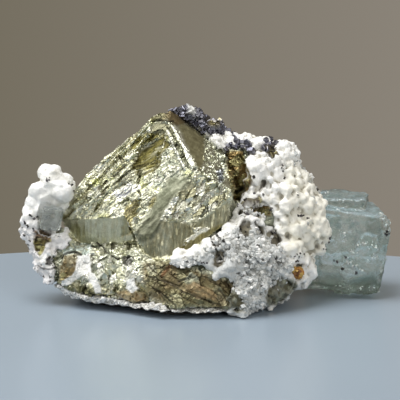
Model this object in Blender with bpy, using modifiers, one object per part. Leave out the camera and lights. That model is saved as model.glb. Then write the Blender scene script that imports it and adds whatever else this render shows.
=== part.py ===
"""Fluorite with pyrite: a brassy crystal, white dolomite, galena cubes and pale green fluorite.

The cluster stands on the plane z = 0 with +X along its length and the viewer on the -Y side.
Lengths, corners and centres are in millimetres, as (x, y, z), until a mesh is made in metres.
"""

import math
import random

import bmesh
import bpy
from mathutils import Euler, Matrix, Vector, noise

MM = 0.001
GAP = 0.65
CUTTER_VOXEL = 0.5
CUTTER_SHARE = 0.014
CUTTER_LEAST = 560
CRUST_VOXEL = 0.55
LUMP_SPACING = 1.7
GOLDEN_ANGLE = math.radians(137.508)

# The brassy crystal: a right block with the ridge and the front faces, and a lower left block.
RIGHT_BLOCK_CORNERS = {
    "apex_tip": (-15.8, 5.0, 54.1),
    "apex_top": (-10.1, 6.0, 55.7),
    "apex_right": (-11.0, 1.8, 53.0),
    "shoulder": (-5.4, 4.3, 51.8),
    "shoulder_low": (6.1, -1.2, 42.7),
    "ridge_low": (-2.4, -11.3, 40.5),
    "right_rim": (7.3, -12.4, 35.1),
    "right_low": (6.2, -13.6, 26.0),
    "bevel_high_left": (-5.9, -10.2, 38.8),
    "bevel_high_right": (-8.2, -12.2, 33.0),
    "bevel_low_left": (-21.0, -11.7, 22.4),
    "bevel_low_right": (-16.3, -13.9, 21.3),
    "band_corner": (-23.7, -7.4, 26.6),
    "foot_left": (-15.4, -14.7, 14.2),
    "foot_right": (-4.4, -14.6, 17.6),
    "back_left": (-20.0, 14.0, 44.0),
    "back_top": (-11.5, 12.5, 51.0),
    "back_shoulder": (4.0, 13.5, 44.0),
    "back_right": (10.0, 12.0, 34.0),
    "back_low_left": (-18.0, 24.0, 18.0),
    "back_low_right": (10.0, 20.0, 12.0),
}
LEFT_BLOCK_CORNERS = {
    "apex_side": (-16.6, 5.2, 52.6),
    "inner_high": (-13.0, 3.4, 50.0),
    "left_high": (-22.9, 5.0, 46.0),
    "left_mid": (-35.9, 6.3, 36.0),
    "left_top": (-42.7, 4.0, 25.9),
    "band_left": (-42.9, 2.6, 23.8),
    "band_right": (-23.5, -7.0, 26.4),
    "band_low_left": (-37.9, 0.9, 17.2),
    "band_low_mid": (-31.0, -2.4, 16.6),
    "band_low_right": (-21.0, -7.8, 19.4),
    "inner_low": (-14.0, 6.0, 14.0),
    "back_left": (-37.0, 14.0, 27.0),
    "back_high": (-25.0, 13.0, 41.0),
    "back_inner": (-14.0, 12.0, 44.0),
    "back_low": (-34.0, 21.0, 12.0),
}

# The granular mass below the crystal, which bulges towards the viewer and is cut off underneath.
MASS_CORNERS = {
    "left_high": (-43.5, -1.0, 21.5),
    "left_end": (-47.5, -3.0, 14.0),
    "left_low": (-44.5, -6.5, 6.8),
    "left_back": (-44.0, 8.0, 9.0),
    "ledge_left": (-36.0, -4.5, 18.2),
    "ledge_mid": (-27.0, -9.0, 18.5),
    "ledge_right": (-14.5, -16.5, 14.5),
    "belly_left": (-36.0, -10.5, 10.0),
    "belly_mid": (-24.0, -15.5, 10.5),
    "belly_right": (-12.0, -21.0, 9.5),
    "front_left": (-37.0, -11.5, 5.0),
    "front_mid": (-19.0, -19.5, 4.4),
    "front_low": (-9.0, -24.4, 3.0),
    "front_right": (6.0, -23.4, 3.2),
    "front_high": (2.0, -21.5, 13.0),
    "right_front": (17.0, -18.5, 4.0),
    "right_end": (24.5, -11.0, 6.0),
    "right_high": (13.0, -9.0, 22.0),
    "right_top": (12.0, 2.0, 32.0),
    "back_right": (23.0, 14.0, 5.0),
    "back_mid": (-2.0, 23.5, 4.0),
    "back_left": (-32.0, 20.5, 4.0),
    "back_high": (6.0, 18.0, 26.0),
}
# The space in front of the left block's low band, where the mass steps down.
BAND_CLEARANCE = {
    "inner_end": (-43.2, 3.6, 24.6),
    "inner_left": (-37.9, 2.0, 17.0),
    "inner_mid": (-31.0, -1.2, 16.4),
    "inner_right": (-24.4, -4.8, 18.6),
    "inner_corner": (-20.4, -6.4, 18.4),
    "outer_end": (-43.2, -8.0, 24.2),
    "outer_left": (-38.4, -9.0, 15.8),
    "outer_mid": (-31.5, -12.5, 14.8),
    "outer_right": (-24.4, -15.0, 15.8),
    "outer_corner": (-18.6, -17.0, 15.8),
    "top_outer_left": (-43.2, -8.0, 31.0),
    "top_outer_right": (-18.6, -17.0, 31.0),
    "top_inner_right": (-20.4, -6.4, 31.0),
    "top_inner_left": (-43.2, 3.6, 31.0),
}
MASS_EDGE = 5.0
MASS_ROUGHNESS = 1.0
MASS_GRAIN = 5.0
MASS_DOMES = (
    ((-39.6, -8.2, 10.6), (3.2, 2.6, 4.6)),
    ((9.6, 4.0, 38.6), (5.4, 4.6, 6.4)),
    ((16.6, -2.0, 26.6), (5.6, 4.6, 5.0)),
)

# Growth steps on the big left face: long low slats beside its serrated edge.
LEFT_FACE_NORMAL = (-0.45, -0.75, 0.48)
LEFT_EDGE_START = (-41.5, 3.4, 27.0)
LEFT_EDGE_END = (-16.5, 4.8, 53.0)
STEP_COUNT = 5
STEP_SPACING = 1.5
STEP_HEIGHT = 0.55
STEP_WIDTH = 0.9
STEP_SEED = 2
RIDGE_SLAT_START = (-10.6, 1.4, 52.0)
RIDGE_SLAT_END = (-2.9, -10.9, 41.0)
RIDGE_SLAT_WIDTH = 1.7
RIDGE_SLAT_HEIGHT = 0.8
RIDGE_SLAT_NORMAL = (-0.1, -0.72, 0.7)

# Shallow shell-shaped hollows in the left face: centre, radii and turn in the face in degrees.
HOLLOWS = {
    "high": ((-16.4, 0.2, 45.0), (7.6, 3.6, 1.3), 8.0),
    "mid": ((-17.8, -3.8, 38.4), (6.4, 2.6, 1.1), 12.0),
    "low": ((-20.6, -8.8, 28.6), (5.4, 2.2, 1.1), 30.0),
}

# Galena cubes along the top ridge: centre and edge length.
GALENA_SEED = 4
GALENA_TILT = 0.5
GALENA_CUBES = (
    ((-8.0, 8.2, 54.0), 3.8),
    ((-5.8, 8.6, 54.4), 4.4),
    ((-3.4, 8.8, 53.6), 4.2),
    ((-5.0, 12.0, 51.6), 4.8),
    ((-1.4, 8.8, 51.2), 4.0),
    ((1.0, 9.2, 50.2), 3.8),
    ((3.2, 9.6, 49.4), 4.4),
    ((5.6, 8.8, 47.6), 3.8),
    ((-0.4, 13.0, 48.4), 5.2),
    ((-8.8, 12.6, 50.6), 3.6),
    ((7.6, 7.4, 45.9), 3.4),
)

# The right-hand dolomite crust, as swellings: centre and radius.
CRUST_SWELLINGS = (
    ((3.4, 5.6, 43.2), 4.4),
    ((10.2, 8.0, 42.2), 5.6),
    ((17.0, 8.0, 40.6), 6.4),
    ((21.8, 6.6, 41.0), 5.0),
    ((16.4, 2.6, 37.4), 5.8),
    ((22.4, 5.6, 33.6), 7.2),
    ((26.2, 5.0, 28.8), 7.4),
    ((28.8, 2.6, 24.0), 7.2),
    ((29.6, 0.6, 19.8), 6.6),
    ((24.6, -1.6, 20.0), 7.4),
    ((22.0, 0.0, 28.0), 7.6),
    ((17.6, -0.6, 27.4), 6.2),
    ((13.6, -4.6, 23.4), 6.4),
    ((9.8, -11.4, 20.4), 4.8),
    ((4.6, -15.6, 17.8), 4.2),
    ((-0.8, -17.0, 15.6), 3.6),
    ((-5.8, -17.4, 15.2), 2.7),
    ((6.2, -17.0, 13.2), 5.0),
    ((14.4, -12.4, 13.8), 6.8),
    ((22.2, -7.6, 12.6), 6.6),
    ((12.2, -15.6, 7.2), 6.2),
    ((9.2, -20.2, 4.0), 3.8),
    ((18.2, -11.4, 7.2), 5.8),
    ((25.8, -5.0, 10.6), 5.8),
    ((24.0, 10.0, 24.0), 9.0),
    ((18.0, 15.0, 32.0), 7.6),
    ((16.0, 17.0, 22.0), 8.0),
    ((20.0, 13.0, 12.0), 8.4),
    ((9.0, 15.6, 40.0), 5.4),
)
CRUST_CARVINGS = (
    ((9.6, -4.6, 38.6), (3.4, 6.4, 6.0)),
    ((15.4, -7.4, 27.8), (5.2, 2.6, 1.5)),
    ((18.6, -7.6, 24.6), (2.4, 2.6, 3.6)),
)
CRUST_FACES = 1470
CRUST_LUMP = 1.75
CRUST_SEED = 11

# The left dolomite knob: its round lumps, then the patch below them.
KNOB_SWELLINGS = (
    ((-45.2, 1.0, 37.4), 3.5),
    ((-42.2, -1.4, 33.0), 2.9),
    ((-41.8, 3.0, 35.2), 2.9),
    ((-47.4, 0.8, 32.0), 3.7),
    ((-49.4, 0.6, 28.2), 3.6),
    ((-44.6, 2.0, 28.4), 3.8),
    ((-51.0, 0.0, 24.0), 3.4),
    ((-51.4, -0.8, 20.6), 3.0),
    ((-49.4, -1.4, 17.2), 3.0),
    ((-46.6, -1.4, 21.4), 3.8),
    ((-47.4, -3.6, 14.0), 2.9),
    ((-47.0, -4.8, 10.6), 2.5),
    ((-45.4, -5.8, 8.8), 2.2),
    ((-42.2, -2.6, 18.2), 2.6),
    ((-47.0, 3.4, 18.0), 4.0),
)
KNOB_PIT = ((-45.6, -9.6, 13.0), (1.6, 2.6, 1.9))
KNOB_FACES = 540
KNOB_LUMP = 1.5
KNOB_SEED = 5

# The underside crust, as swellings cut flat where the cluster rests.
BASE_SWELLINGS = (
    ((-41.4, -5.8, 5.0), 2.4),
    ((-38.0, -9.2, 4.2), 2.4),
    ((-33.6, -10.8, 3.8), 2.3),
    ((-29.0, -12.6, 3.4), 2.4),
    ((-24.6, -14.4, 3.2), 2.4),
    ((-20.0, -17.0, 2.8), 2.5),
    ((-15.6, -20.0, 2.0), 2.6),
    ((-11.4, -22.2, 1.2), 2.8),
    ((-6.6, -22.6, 0.6), 2.9),
    ((-1.6, -22.2, 0.4), 2.9),
    ((3.4, -21.2, 0.6), 2.8),
    ((-2.0, -15.0, -1.4), 7.0),
    ((-13.0, -11.0, -1.0), 7.0),
    ((-24.0, -3.0, 0.4), 7.4),
    ((-35.0, -1.0, 4.0), 5.6),
    ((-34.0, 9.0, 1.8), 6.4),
    ((-24.0, 13.0, -0.6), 8.0),
    ((-8.0, 2.0, -1.6), 9.0),
    ((-8.0, 15.0, -1.2), 9.0),
    ((7.0, 13.0, -1.2), 9.0),
    ((9.0, -5.0, -1.4), 8.0),
    ((17.0, 5.0, -0.8), 7.0),
)
BASE_SLABS = (((-10.0, 0.0, 0.0), (28.0, 17.0, 3.4)), ((8.0, 3.0, 0.0), (15.0, 15.0, 3.0)))
BASE_FACES = 410
BASE_LUMP = 1.0
BASE_SEED = 3

# Fluorite cubes grown through one another: centre, size and turn in degrees.
FLUORITE_CUBES = (
    ((42.2, 11.0, 14.2), (20.4, 22.0, 24.6), (0.0, 7.0, -5.0)),
    ((42.0, 13.2, 21.6), (14.4, 16.0, 16.0), (2.0, -1.0, -9.0)),
    ((48.0, 9.4, 15.4), (12.0, 15.0, 16.6), (-2.0, 6.0, 4.0)),
    ((49.4, 8.4, 12.0), (8.0, 12.0, 18.0), (0.0, 9.0, 8.0)),
    ((45.6, 5.0, 8.6), (13.6, 9.0, 14.6), (3.0, -3.0, -12.0)),
    ((38.0, 6.8, 17.0), (10.0, 13.6, 15.6), (-3.0, 4.0, 12.0)),
    ((49.8, 15.6, 13.0), (9.0, 13.0, 12.6), (4.0, 6.0, -6.0)),
    ((40.6, 19.6, 12.4), (13.0, 9.6, 15.0), (-2.0, 3.0, 7.0)),
)
FLUORITE_SMALL_CUBES = (
    ((-44.9, -4.6, 24.8), (6.4, 5.2, 7.2), (4.0, 6.0, 8.0)),
    ((-46.0, -4.2, 23.2), (4.6, 5.0, 5.0), (-3.0, -8.0, -14.0)),
)
GRAIN_CENTRE = (26.9, -11.6, 10.5)
GRAIN_RADIUS = 1.9

MATERIALS = {
    "pyrite": ((0.50, 0.47, 0.30), 0.32, 1.0),
    "galena": ((0.11, 0.11, 0.13), 0.38, 0.9),
    "dolomite": ((0.82, 0.80, 0.74), 0.75, 0.0),
    "fluorite": ((0.36, 0.46, 0.42), 0.25, 0.0),
    "fluorite_grey": ((0.42, 0.45, 0.44), 0.3, 0.0),
    "sphalerite": ((0.36, 0.18, 0.05), 0.4, 0.0),
}


def clear_scene():
    """Remove every object of the scene."""
    for item in list(bpy.data.objects):
        bpy.data.objects.remove(item, do_unlink=True)


def make_collection(name):
    """Return a new collection linked to the scene."""
    collection = bpy.data.collections.new(name)
    bpy.context.scene.collection.children.link(collection)
    return collection


def make_material(name):
    """Return a Principled material from the MATERIALS table."""
    colour, roughness, metallic = MATERIALS[name]
    material = bpy.data.materials.new(name)
    material.use_nodes = True
    shader = material.node_tree.nodes["Principled BSDF"]
    shader.inputs["Base Color"].default_value = (*colour, 1.0)
    shader.inputs["Roughness"].default_value = roughness
    shader.inputs["Metallic"].default_value = metallic
    material.diffuse_color = (*colour, 1.0)
    return material


def object_from(bm, name, collection):
    """Return a linked object made from a bmesh in metres, which is freed."""
    bmesh.ops.recalc_face_normals(bm, faces=bm.faces)
    mesh = bpy.data.meshes.new(name)
    bm.to_mesh(mesh)
    bm.free()
    item = bpy.data.objects.new(name, mesh)
    collection.objects.link(item)
    return item


def hull_mesh(corners):
    """Return a bmesh of the convex hull of corners given in millimetres."""
    bm = bmesh.new()
    for corner in corners:
        bm.verts.new(Vector(corner) * MM)
    result = bmesh.ops.convex_hull(bm, input=bm.verts)
    loose = [v for v in result["geom_interior"] if isinstance(v, bmesh.types.BMVert)]
    bmesh.ops.delete(bm, geom=loose, context="VERTS")
    return bm


def refine(bm, longest):
    """Split every edge longer than the given millimetres and triangulate."""
    for _ in range(5):
        long_edges = [e for e in bm.edges if e.calc_length() > longest * MM]
        if not long_edges:
            break
        bmesh.ops.subdivide_edges(bm, edges=long_edges, cuts=1)
        bmesh.ops.triangulate(bm, faces=bm.faces)


def roughen(bm, amount, grain):
    """Push each vertex along its normal by coherent noise, in millimetres."""
    bm.normal_update()
    moves = {}
    for vert in bm.verts:
        place = vert.co / (grain * MM)
        value = noise.noise(place) + 0.5 * noise.noise(place * 2.3)
        moves[vert] = vert.normal * value * amount * MM
    for vert, move in moves.items():
        vert.co += move


def add_box(bm, size, matrix):
    """Add a box of the given size in millimetres, placed by a matrix in millimetres."""
    scale = Matrix.Diagonal((*size, 1.0))
    bmesh.ops.create_cube(bm, size=1.0, matrix=Matrix.Scale(MM, 4) @ matrix @ scale)


def make_ball(detail):
    """Return a mesh of a round ball of one metre radius, to be copied into others."""
    bm = bmesh.new()
    bmesh.ops.create_icosphere(bm, subdivisions=detail, radius=1.0)
    ball = bpy.data.meshes.new("ball")
    bm.to_mesh(ball)
    bm.free()
    return ball


def add_ball(bm, ball, centre, radii):
    """Add a copy of the ball mesh as an ellipsoid with its radii in millimetres."""
    matrix = Matrix.Translation(Vector(centre)) @ Matrix.Diagonal((*radii, 1.0))
    matrix = Matrix.Scale(MM, 4) @ matrix
    ball.transform(matrix)
    bm.from_mesh(ball)
    ball.transform(matrix.inverted())


def ball_mesh(centre, radii):
    """Return a bmesh of one ellipsoid with its radii in millimetres."""
    bm = bmesh.new()
    add_ball(bm, make_ball(2), centre, radii)
    return bm


def apply_modifiers(item):
    """Replace the object's mesh by its evaluated one."""
    depsgraph = bpy.context.evaluated_depsgraph_get()
    mesh = bpy.data.meshes.new_from_object(item.evaluated_get(depsgraph))
    item.modifiers.clear()
    old = item.data
    item.data = mesh
    mesh.name = old.name
    bpy.data.meshes.remove(old)


def combine(item, other, operation):
    """Apply an exact Boolean of the object with another one."""
    modifier = item.modifiers.new(operation.lower(), "BOOLEAN")
    modifier.object = other
    modifier.operation = operation
    modifier.solver = "EXACT"
    apply_modifiers(item)


def keep_largest_shell(item):
    """Delete all but the connected shell with the most faces."""
    bm = bmesh.new()
    bm.from_mesh(item.data)
    unseen = set(bm.verts)
    shells = []
    while unseen:
        front = [unseen.pop()]
        shell = set(front)
        while front:
            vert = front.pop()
            for edge in vert.link_edges:
                near = edge.other_vert(vert)
                if near in unseen:
                    unseen.discard(near)
                    shell.add(near)
                    front.append(near)
        shells.append(shell)
    largest = max(shells, key=len)
    bmesh.ops.delete(bm, geom=[v for v in bm.verts if v not in largest], context="VERTS")
    bm.to_mesh(item.data)
    bm.free()


def hide_cutter(cutter):
    """Keep a cutting solid out of renders and draw it as wires."""
    cutter.hide_render = True
    cutter.display_type = "WIRE"


def make_cutter(item, collection):
    """Return a copy of the object grown by the gap, as a clean Boolean cutter."""
    cutter = item.copy()
    cutter.data = item.data.copy()
    cutter.name = item.name + "_clearance"
    collection.objects.link(cutter)
    remesh = cutter.modifiers.new("even", "REMESH")
    remesh.mode = "VOXEL"
    remesh.voxel_size = CUTTER_VOXEL * MM
    grow = cutter.modifiers.new("grow", "DISPLACE")
    grow.strength = GAP * MM
    grow.mid_level = 0.0
    again = cutter.modifiers.new("even_again", "REMESH")
    again.mode = "VOXEL"
    again.voxel_size = CUTTER_VOXEL * MM
    apply_modifiers(cutter)
    thin = cutter.modifiers.new("thin", "DECIMATE")
    thin.ratio = max(CUTTER_SHARE, CUTTER_LEAST / (2.0 * len(cutter.data.polygons)))
    apply_modifiers(cutter)
    keep_largest_shell(cutter)
    hide_cutter(cutter)
    return cutter


def boxes_meet(first, second):
    """Tell whether the bounding boxes of two unmoved objects overlap."""
    for axis in range(3):
        a = [corner[axis] for corner in first.bound_box]
        b = [corner[axis] for corner in second.bound_box]
        if max(a) < min(b) or max(b) < min(a):
            return False
    return True


def cut_off_below_ground(item):
    """Cut the object off flat at the plane z = 0, where it rests."""
    bm = bmesh.new()
    bm.from_mesh(item.data)
    everything = [*bm.verts, *bm.edges, *bm.faces]
    up = (0.0, 0.0, 1.0)
    origin = (0.0, 0.0, 0.0)
    bmesh.ops.bisect_plane(bm, geom=everything, plane_co=origin, plane_no=up, clear_inner=True)
    rim = [edge for edge in bm.edges if edge.is_boundary]
    if rim:
        bmesh.ops.triangle_fill(bm, use_beauty=True, edges=rim, normal=up)
    bmesh.ops.recalc_face_normals(bm, faces=bm.faces)
    bm.to_mesh(item.data)
    bm.free()


def unite(name, meshes, collection):
    """Return one object that is the exact union of several closed bmeshes."""
    body = object_from(meshes[0], name, collection)
    for bm in meshes[1:]:
        extra = object_from(bm, name + "_extra", collection)
        combine(body, extra, "UNION")
        bpy.data.objects.remove(extra, do_unlink=True)
    return body


def face_matrix(place, normal, along):
    """Return a matrix with Z on the normal and X nearest to the given direction."""
    z_axis = Vector(normal).normalized()
    x_axis = Vector(along) - z_axis * Vector(along).dot(z_axis)
    x_axis.normalize()
    y_axis = z_axis.cross(x_axis)
    matrix = Matrix((x_axis, y_axis, z_axis)).transposed().to_4x4()
    return Matrix.Translation(Vector(place)) @ matrix


def growth_steps():
    """Return the slats beside the left face's serrated edge, one bmesh each."""
    normal = Vector(LEFT_FACE_NORMAL).normalized()
    start = Vector(LEFT_EDGE_START)
    end = Vector(LEFT_EDGE_END)
    along = end - start
    inward = along.cross(normal).normalized()
    dice = random.Random(STEP_SEED)
    slats = []
    for index in range(STEP_COUNT):
        share = dice.uniform(0.35, 0.8)
        middle = dice.uniform(share / 2, 1.0 - share / 2)
        place = start + along * middle + inward * STEP_SPACING * (index + 0.5)
        bm = bmesh.new()
        size = (along.length * share, STEP_WIDTH, 2.0 * STEP_HEIGHT)
        add_box(bm, size, face_matrix(place, normal, along))
        slats.append(bm)
    return slats


def ridge_slat():
    """Return the raised straight slat along the ridge below the apex."""
    start = Vector(RIDGE_SLAT_START)
    end = Vector(RIDGE_SLAT_END)
    bm = bmesh.new()
    size = ((end - start).length, RIDGE_SLAT_WIDTH, 2.0 * RIDGE_SLAT_HEIGHT)
    add_box(bm, size, face_matrix((start + end) / 2, RIDGE_SLAT_NORMAL, end - start))
    return bm


def make_mass(cutters):
    """Return the granular mass as a bmesh, stepped down in front of the band."""
    blank = object_from(hull_mesh(MASS_CORNERS.values()), "mass_blank", cutters)
    clearance = object_from(hull_mesh(BAND_CLEARANCE.values()), "band_clearance", cutters)
    hide_cutter(clearance)
    combine(blank, clearance, "DIFFERENCE")
    mass = bmesh.new()
    mass.from_mesh(blank.data)
    bpy.data.objects.remove(blank, do_unlink=True)
    refine(mass, MASS_EDGE)
    roughen(mass, MASS_ROUGHNESS, MASS_GRAIN)
    return mass


def make_pyrite(collection, cutters):
    """Build the brassy crystal on its granular mass."""
    right_block = hull_mesh(RIGHT_BLOCK_CORNERS.values())
    left_block = hull_mesh(LEFT_BLOCK_CORNERS.values())
    domes = [ball_mesh(centre, radii) for centre, radii in MASS_DOMES]
    blocks = [make_mass(cutters), *domes, left_block, right_block]
    pyrite = unite("pyrite", [*blocks, *growth_steps(), ridge_slat()], collection)
    for label, (centre, radii, turn) in HOLLOWS.items():
        bm = bmesh.new()
        along = Vector(LEFT_EDGE_END) - Vector(LEFT_EDGE_START)
        frame = face_matrix(centre, LEFT_FACE_NORMAL, along)
        frame = frame @ Matrix.Rotation(math.radians(turn), 4, "Z")
        scale = Matrix.Diagonal((*radii, 1.0))
        bmesh.ops.create_icosphere(
            bm, subdivisions=2, radius=1.0, matrix=Matrix.Scale(MM, 4) @ frame @ scale
        )
        hollow = object_from(bm, "hollow_" + label, cutters)
        hide_cutter(hollow)
        combine(pyrite, hollow, "DIFFERENCE")
    return pyrite


def make_galena(collection):
    """Build the run of galena cubes along the ridge."""
    dice = random.Random(GALENA_SEED)
    meshes = []
    for centre, edge in GALENA_CUBES:
        angles = [dice.uniform(-GALENA_TILT, GALENA_TILT) for _ in range(3)]
        turn = Euler(angles).to_matrix().to_4x4()
        bm = bmesh.new()
        add_box(bm, (edge, edge, edge), Matrix.Translation(Vector(centre)) @ turn)
        meshes.append(bm)
    return unite("galena", meshes, collection)


def make_cube_group(name, cubes, collection):
    """Build one solid from cubes grown through one another."""
    meshes = []
    for centre, size, turn in cubes:
        angles = [math.radians(angle) for angle in turn]
        matrix = Matrix.Translation(Vector(centre)) @ Euler(angles).to_matrix().to_4x4()
        bm = bmesh.new()
        add_box(bm, size, matrix)
        meshes.append(bm)
    return unite(name, meshes, collection)


def lump_places(swellings, spacing, dice):
    """Yield points spread over the outside of the swellings, spacing apart."""
    for index, (centre, radius) in enumerate(swellings):
        count = int(4.0 * math.pi * (radius / spacing) ** 2)
        for step in range(count):
            height = 1.0 - 2.0 * (step + 0.5) / count
            flat = math.sqrt(1.0 - height * height)
            angle = step * GOLDEN_ANGLE + dice.uniform(-0.2, 0.2)
            way = Vector((flat * math.cos(angle), flat * math.sin(angle), height))
            place = Vector(centre) + way * radius
            others = swellings[:index] + swellings[index + 1 :]
            if all((place - Vector(c)).length > r - 0.2 * spacing for c, r in others):
                yield place


def make_crust(name, swellings, lump, faces, seed, collection, slabs=()):
    """Build a lumpy crust: swellings with small round lumps, fused by a voxel remesh."""
    dice = random.Random(seed)
    fine_ball = make_ball(3)
    ball = make_ball(2)
    bm = bmesh.new()
    for centre, radius in swellings:
        add_ball(bm, fine_ball, centre, (radius, radius, radius))
    for centre, radii in slabs:
        add_ball(bm, fine_ball, centre, radii)
    for place in lump_places(swellings, LUMP_SPACING * lump, dice):
        size = lump * dice.uniform(0.6, 1.25)
        add_ball(bm, ball, place, (size, size, size))
    body = object_from(bm, name, collection)
    remesh = body.modifiers.new("fuse", "REMESH")
    remesh.mode = "VOXEL"
    remesh.voxel_size = CRUST_VOXEL * MM
    apply_modifiers(body)
    keep_largest_shell(body)
    thin = body.modifiers.new("thin", "DECIMATE")
    thin.ratio = faces / (2.0 * len(body.data.polygons))
    apply_modifiers(body)
    return body


def carve_balls(item, balls, cutters):
    """Hollow the object out with ellipsoids given as centre and radii."""
    for index, (centre, radii) in enumerate(balls):
        cutter = object_from(ball_mesh(centre, radii), f"{item.name}_hollow_{index}", cutters)
        hide_cutter(cutter)
        combine(item, cutter, "DIFFERENCE")


def make_grain(collection):
    """Build the rounded many-faced grain."""
    bm = bmesh.new()
    radii = (GRAIN_RADIUS, GRAIN_RADIUS, 0.92 * GRAIN_RADIUS)
    add_ball(bm, make_ball(2), GRAIN_CENTRE, radii)
    return object_from(bm, "sphalerite_grain", collection)


def main():
    """Build every piece and cut each one clear of its neighbours."""
    clear_scene()
    pieces = make_collection("fluorite_with_pyrite")
    cutters = make_collection("clearances")

    pyrite = make_pyrite(pieces, cutters)
    fluorite = make_cube_group("fluorite_crystal", FLUORITE_CUBES, pieces)
    small = make_cube_group("fluorite_small", FLUORITE_SMALL_CUBES, pieces)
    grain = make_grain(pieces)
    galena = make_galena(pieces)
    crust = make_crust(
        "dolomite_crust", CRUST_SWELLINGS, CRUST_LUMP, CRUST_FACES, CRUST_SEED, pieces
    )
    knob = make_crust(
        "dolomite_knob", KNOB_SWELLINGS, KNOB_LUMP, KNOB_FACES, KNOB_SEED, pieces
    )
    carve_balls(crust, CRUST_CARVINGS, cutters)
    carve_balls(knob, (KNOB_PIT,), cutters)
    base = make_crust(
        "dolomite_base", BASE_SWELLINGS, BASE_LUMP, BASE_FACES, BASE_SEED, pieces, BASE_SLABS
    )

    order = (
        (pyrite, "pyrite"),
        (fluorite, "fluorite"),
        (small, "fluorite_grey"),
        (grain, "sphalerite"),
        (galena, "galena"),
        (base, "dolomite"),
        (crust, "dolomite"),
        (knob, "dolomite"),
    )
    earlier = []
    for piece, material in order:
        cut_off_below_ground(piece)
        for cutter in earlier:
            if boxes_meet(piece, cutter):
                combine(piece, cutter, "DIFFERENCE")
        keep_largest_shell(piece)
        piece.data.materials.clear()
        piece.data.materials.append(make_material(material))
        earlier.append(make_cutter(piece, cutters))


main()
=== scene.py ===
"""Fluorite with pyrite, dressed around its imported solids: brassy crystal, dolomite, galena and fluorite.

Each mineral is an operator of its own. Grain, growth lines and small crystals are made here as geometry.
Inside the mesh code lengths are millimetres; objects and settings are in metres.
"""

import math
from types import SimpleNamespace

import bmesh
import bpy
import numpy as np
from bpy.props import FloatProperty, FloatVectorProperty, IntProperty, PointerProperty
from bpy.types import Operator, Panel, PropertyGroup
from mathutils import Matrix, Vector
from mathutils.bvhtree import BVHTree


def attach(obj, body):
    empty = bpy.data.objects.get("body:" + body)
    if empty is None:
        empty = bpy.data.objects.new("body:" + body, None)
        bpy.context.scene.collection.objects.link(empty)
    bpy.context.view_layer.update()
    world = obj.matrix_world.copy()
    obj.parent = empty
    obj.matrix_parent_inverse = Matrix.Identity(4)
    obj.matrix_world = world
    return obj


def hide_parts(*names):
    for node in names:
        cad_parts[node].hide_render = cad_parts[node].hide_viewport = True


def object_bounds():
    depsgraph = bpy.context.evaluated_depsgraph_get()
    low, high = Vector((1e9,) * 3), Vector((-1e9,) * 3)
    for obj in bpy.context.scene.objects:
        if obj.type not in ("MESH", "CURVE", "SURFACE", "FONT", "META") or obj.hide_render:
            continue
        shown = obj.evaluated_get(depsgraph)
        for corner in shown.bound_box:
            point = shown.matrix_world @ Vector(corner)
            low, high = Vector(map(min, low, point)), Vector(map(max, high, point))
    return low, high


bl_info = {
    "name": "Fluorite with Pyrite Specimen",
    "version": (1, 0, 0),
    "blender": (4, 5, 0),
    "location": "View3D > Sidebar > Specimen",
    "description": "Builds a mineral specimen of fluorite, pyrite, dolomite and galena",
    "category": "Add Mesh",
}

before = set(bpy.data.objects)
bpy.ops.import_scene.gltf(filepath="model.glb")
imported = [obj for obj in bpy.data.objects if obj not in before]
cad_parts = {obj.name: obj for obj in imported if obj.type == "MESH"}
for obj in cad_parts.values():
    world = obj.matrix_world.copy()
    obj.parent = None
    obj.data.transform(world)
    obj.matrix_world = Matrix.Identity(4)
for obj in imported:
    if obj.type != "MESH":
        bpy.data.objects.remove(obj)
SOLID_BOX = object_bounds()

MM = 0.001

# The viewpoint, in millimetres; places called px are on its 400 x 400 picture.
VIEW_PLACE = np.array((-1.55, -492.4, 116.8))
VIEW_TILT = math.radians(10.0)
VIEW_FOCUS = 1691.0
VIEW_CENTRE = 200.0
TO_VIEWER = np.array((0.0, -math.cos(VIEW_TILT), math.sin(VIEW_TILT)))
SENSOR_WIDTH = 36.0

# The round table top, in metres: it lies a little below the specimen, so that the two faces don't flicker.
TABLE_CENTRE = (-0.008, -0.122)
TABLE_RADIUS = 0.200
TABLE_THICKNESS = 0.010
TABLE_DROP = 0.0003
TABLE_EDGE = 0.0015

# Each light's name, direction from the specimen, distance and size in metres, power in watts and colour.
LIGHTS = (
    ("window_light", (-0.74, -0.25, 0.62), 0.90, 0.95, 5.0, (1.0, 1.0, 0.98)),
    ("top_light", (-0.25, -0.06, 0.95), 0.90, 0.60, 7.5, (0.98, 0.99, 1.0)),
    ("front_light", (0.10, -0.99, 0.15), 1.20, 1.0, 0.9, (1.0, 0.99, 0.96)),
    ("side_light", (0.50, -0.74, 0.45), 1.20, 0.80, 4.0, (1.0, 1.0, 0.98)),
)

# The crystal's faces, as outward directions.
LEFT_FACE = (-0.45, -0.75, 0.48)
BAND_FACE = (-0.44, -0.89, -0.12)
RIGHT_FACE = (0.38, -0.49, 0.78)

# Directions that lines, plates and chips are drawn out along.
GROWTH_LINE = (0.753, -0.034, 0.655)
SHELL_LINE = (0.88, -0.20, 0.42)
UPRIGHT_LINE = (0.1, 0.0, 1.0)
BREAK_LINE = (0.55, -0.25, 0.80)
MASS_LINE = (0.8, 0.0, -0.6)
CHIP_LINE = (0.7, 0.0, 0.7)
SEAM_LINE = (0.86, 0.0, -0.5)
UP = (0.0, 0.0, 1.0)
ALONG = (1.0, 0.0, 0.0)
GROWTH_TURN = (0.0, -math.asin(GROWTH_LINE[2]), math.atan2(GROWTH_LINE[1], GROWTH_LINE[0]))
UPRIGHT_TURN = (0.0, -math.pi / 2, 0.0)

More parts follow.
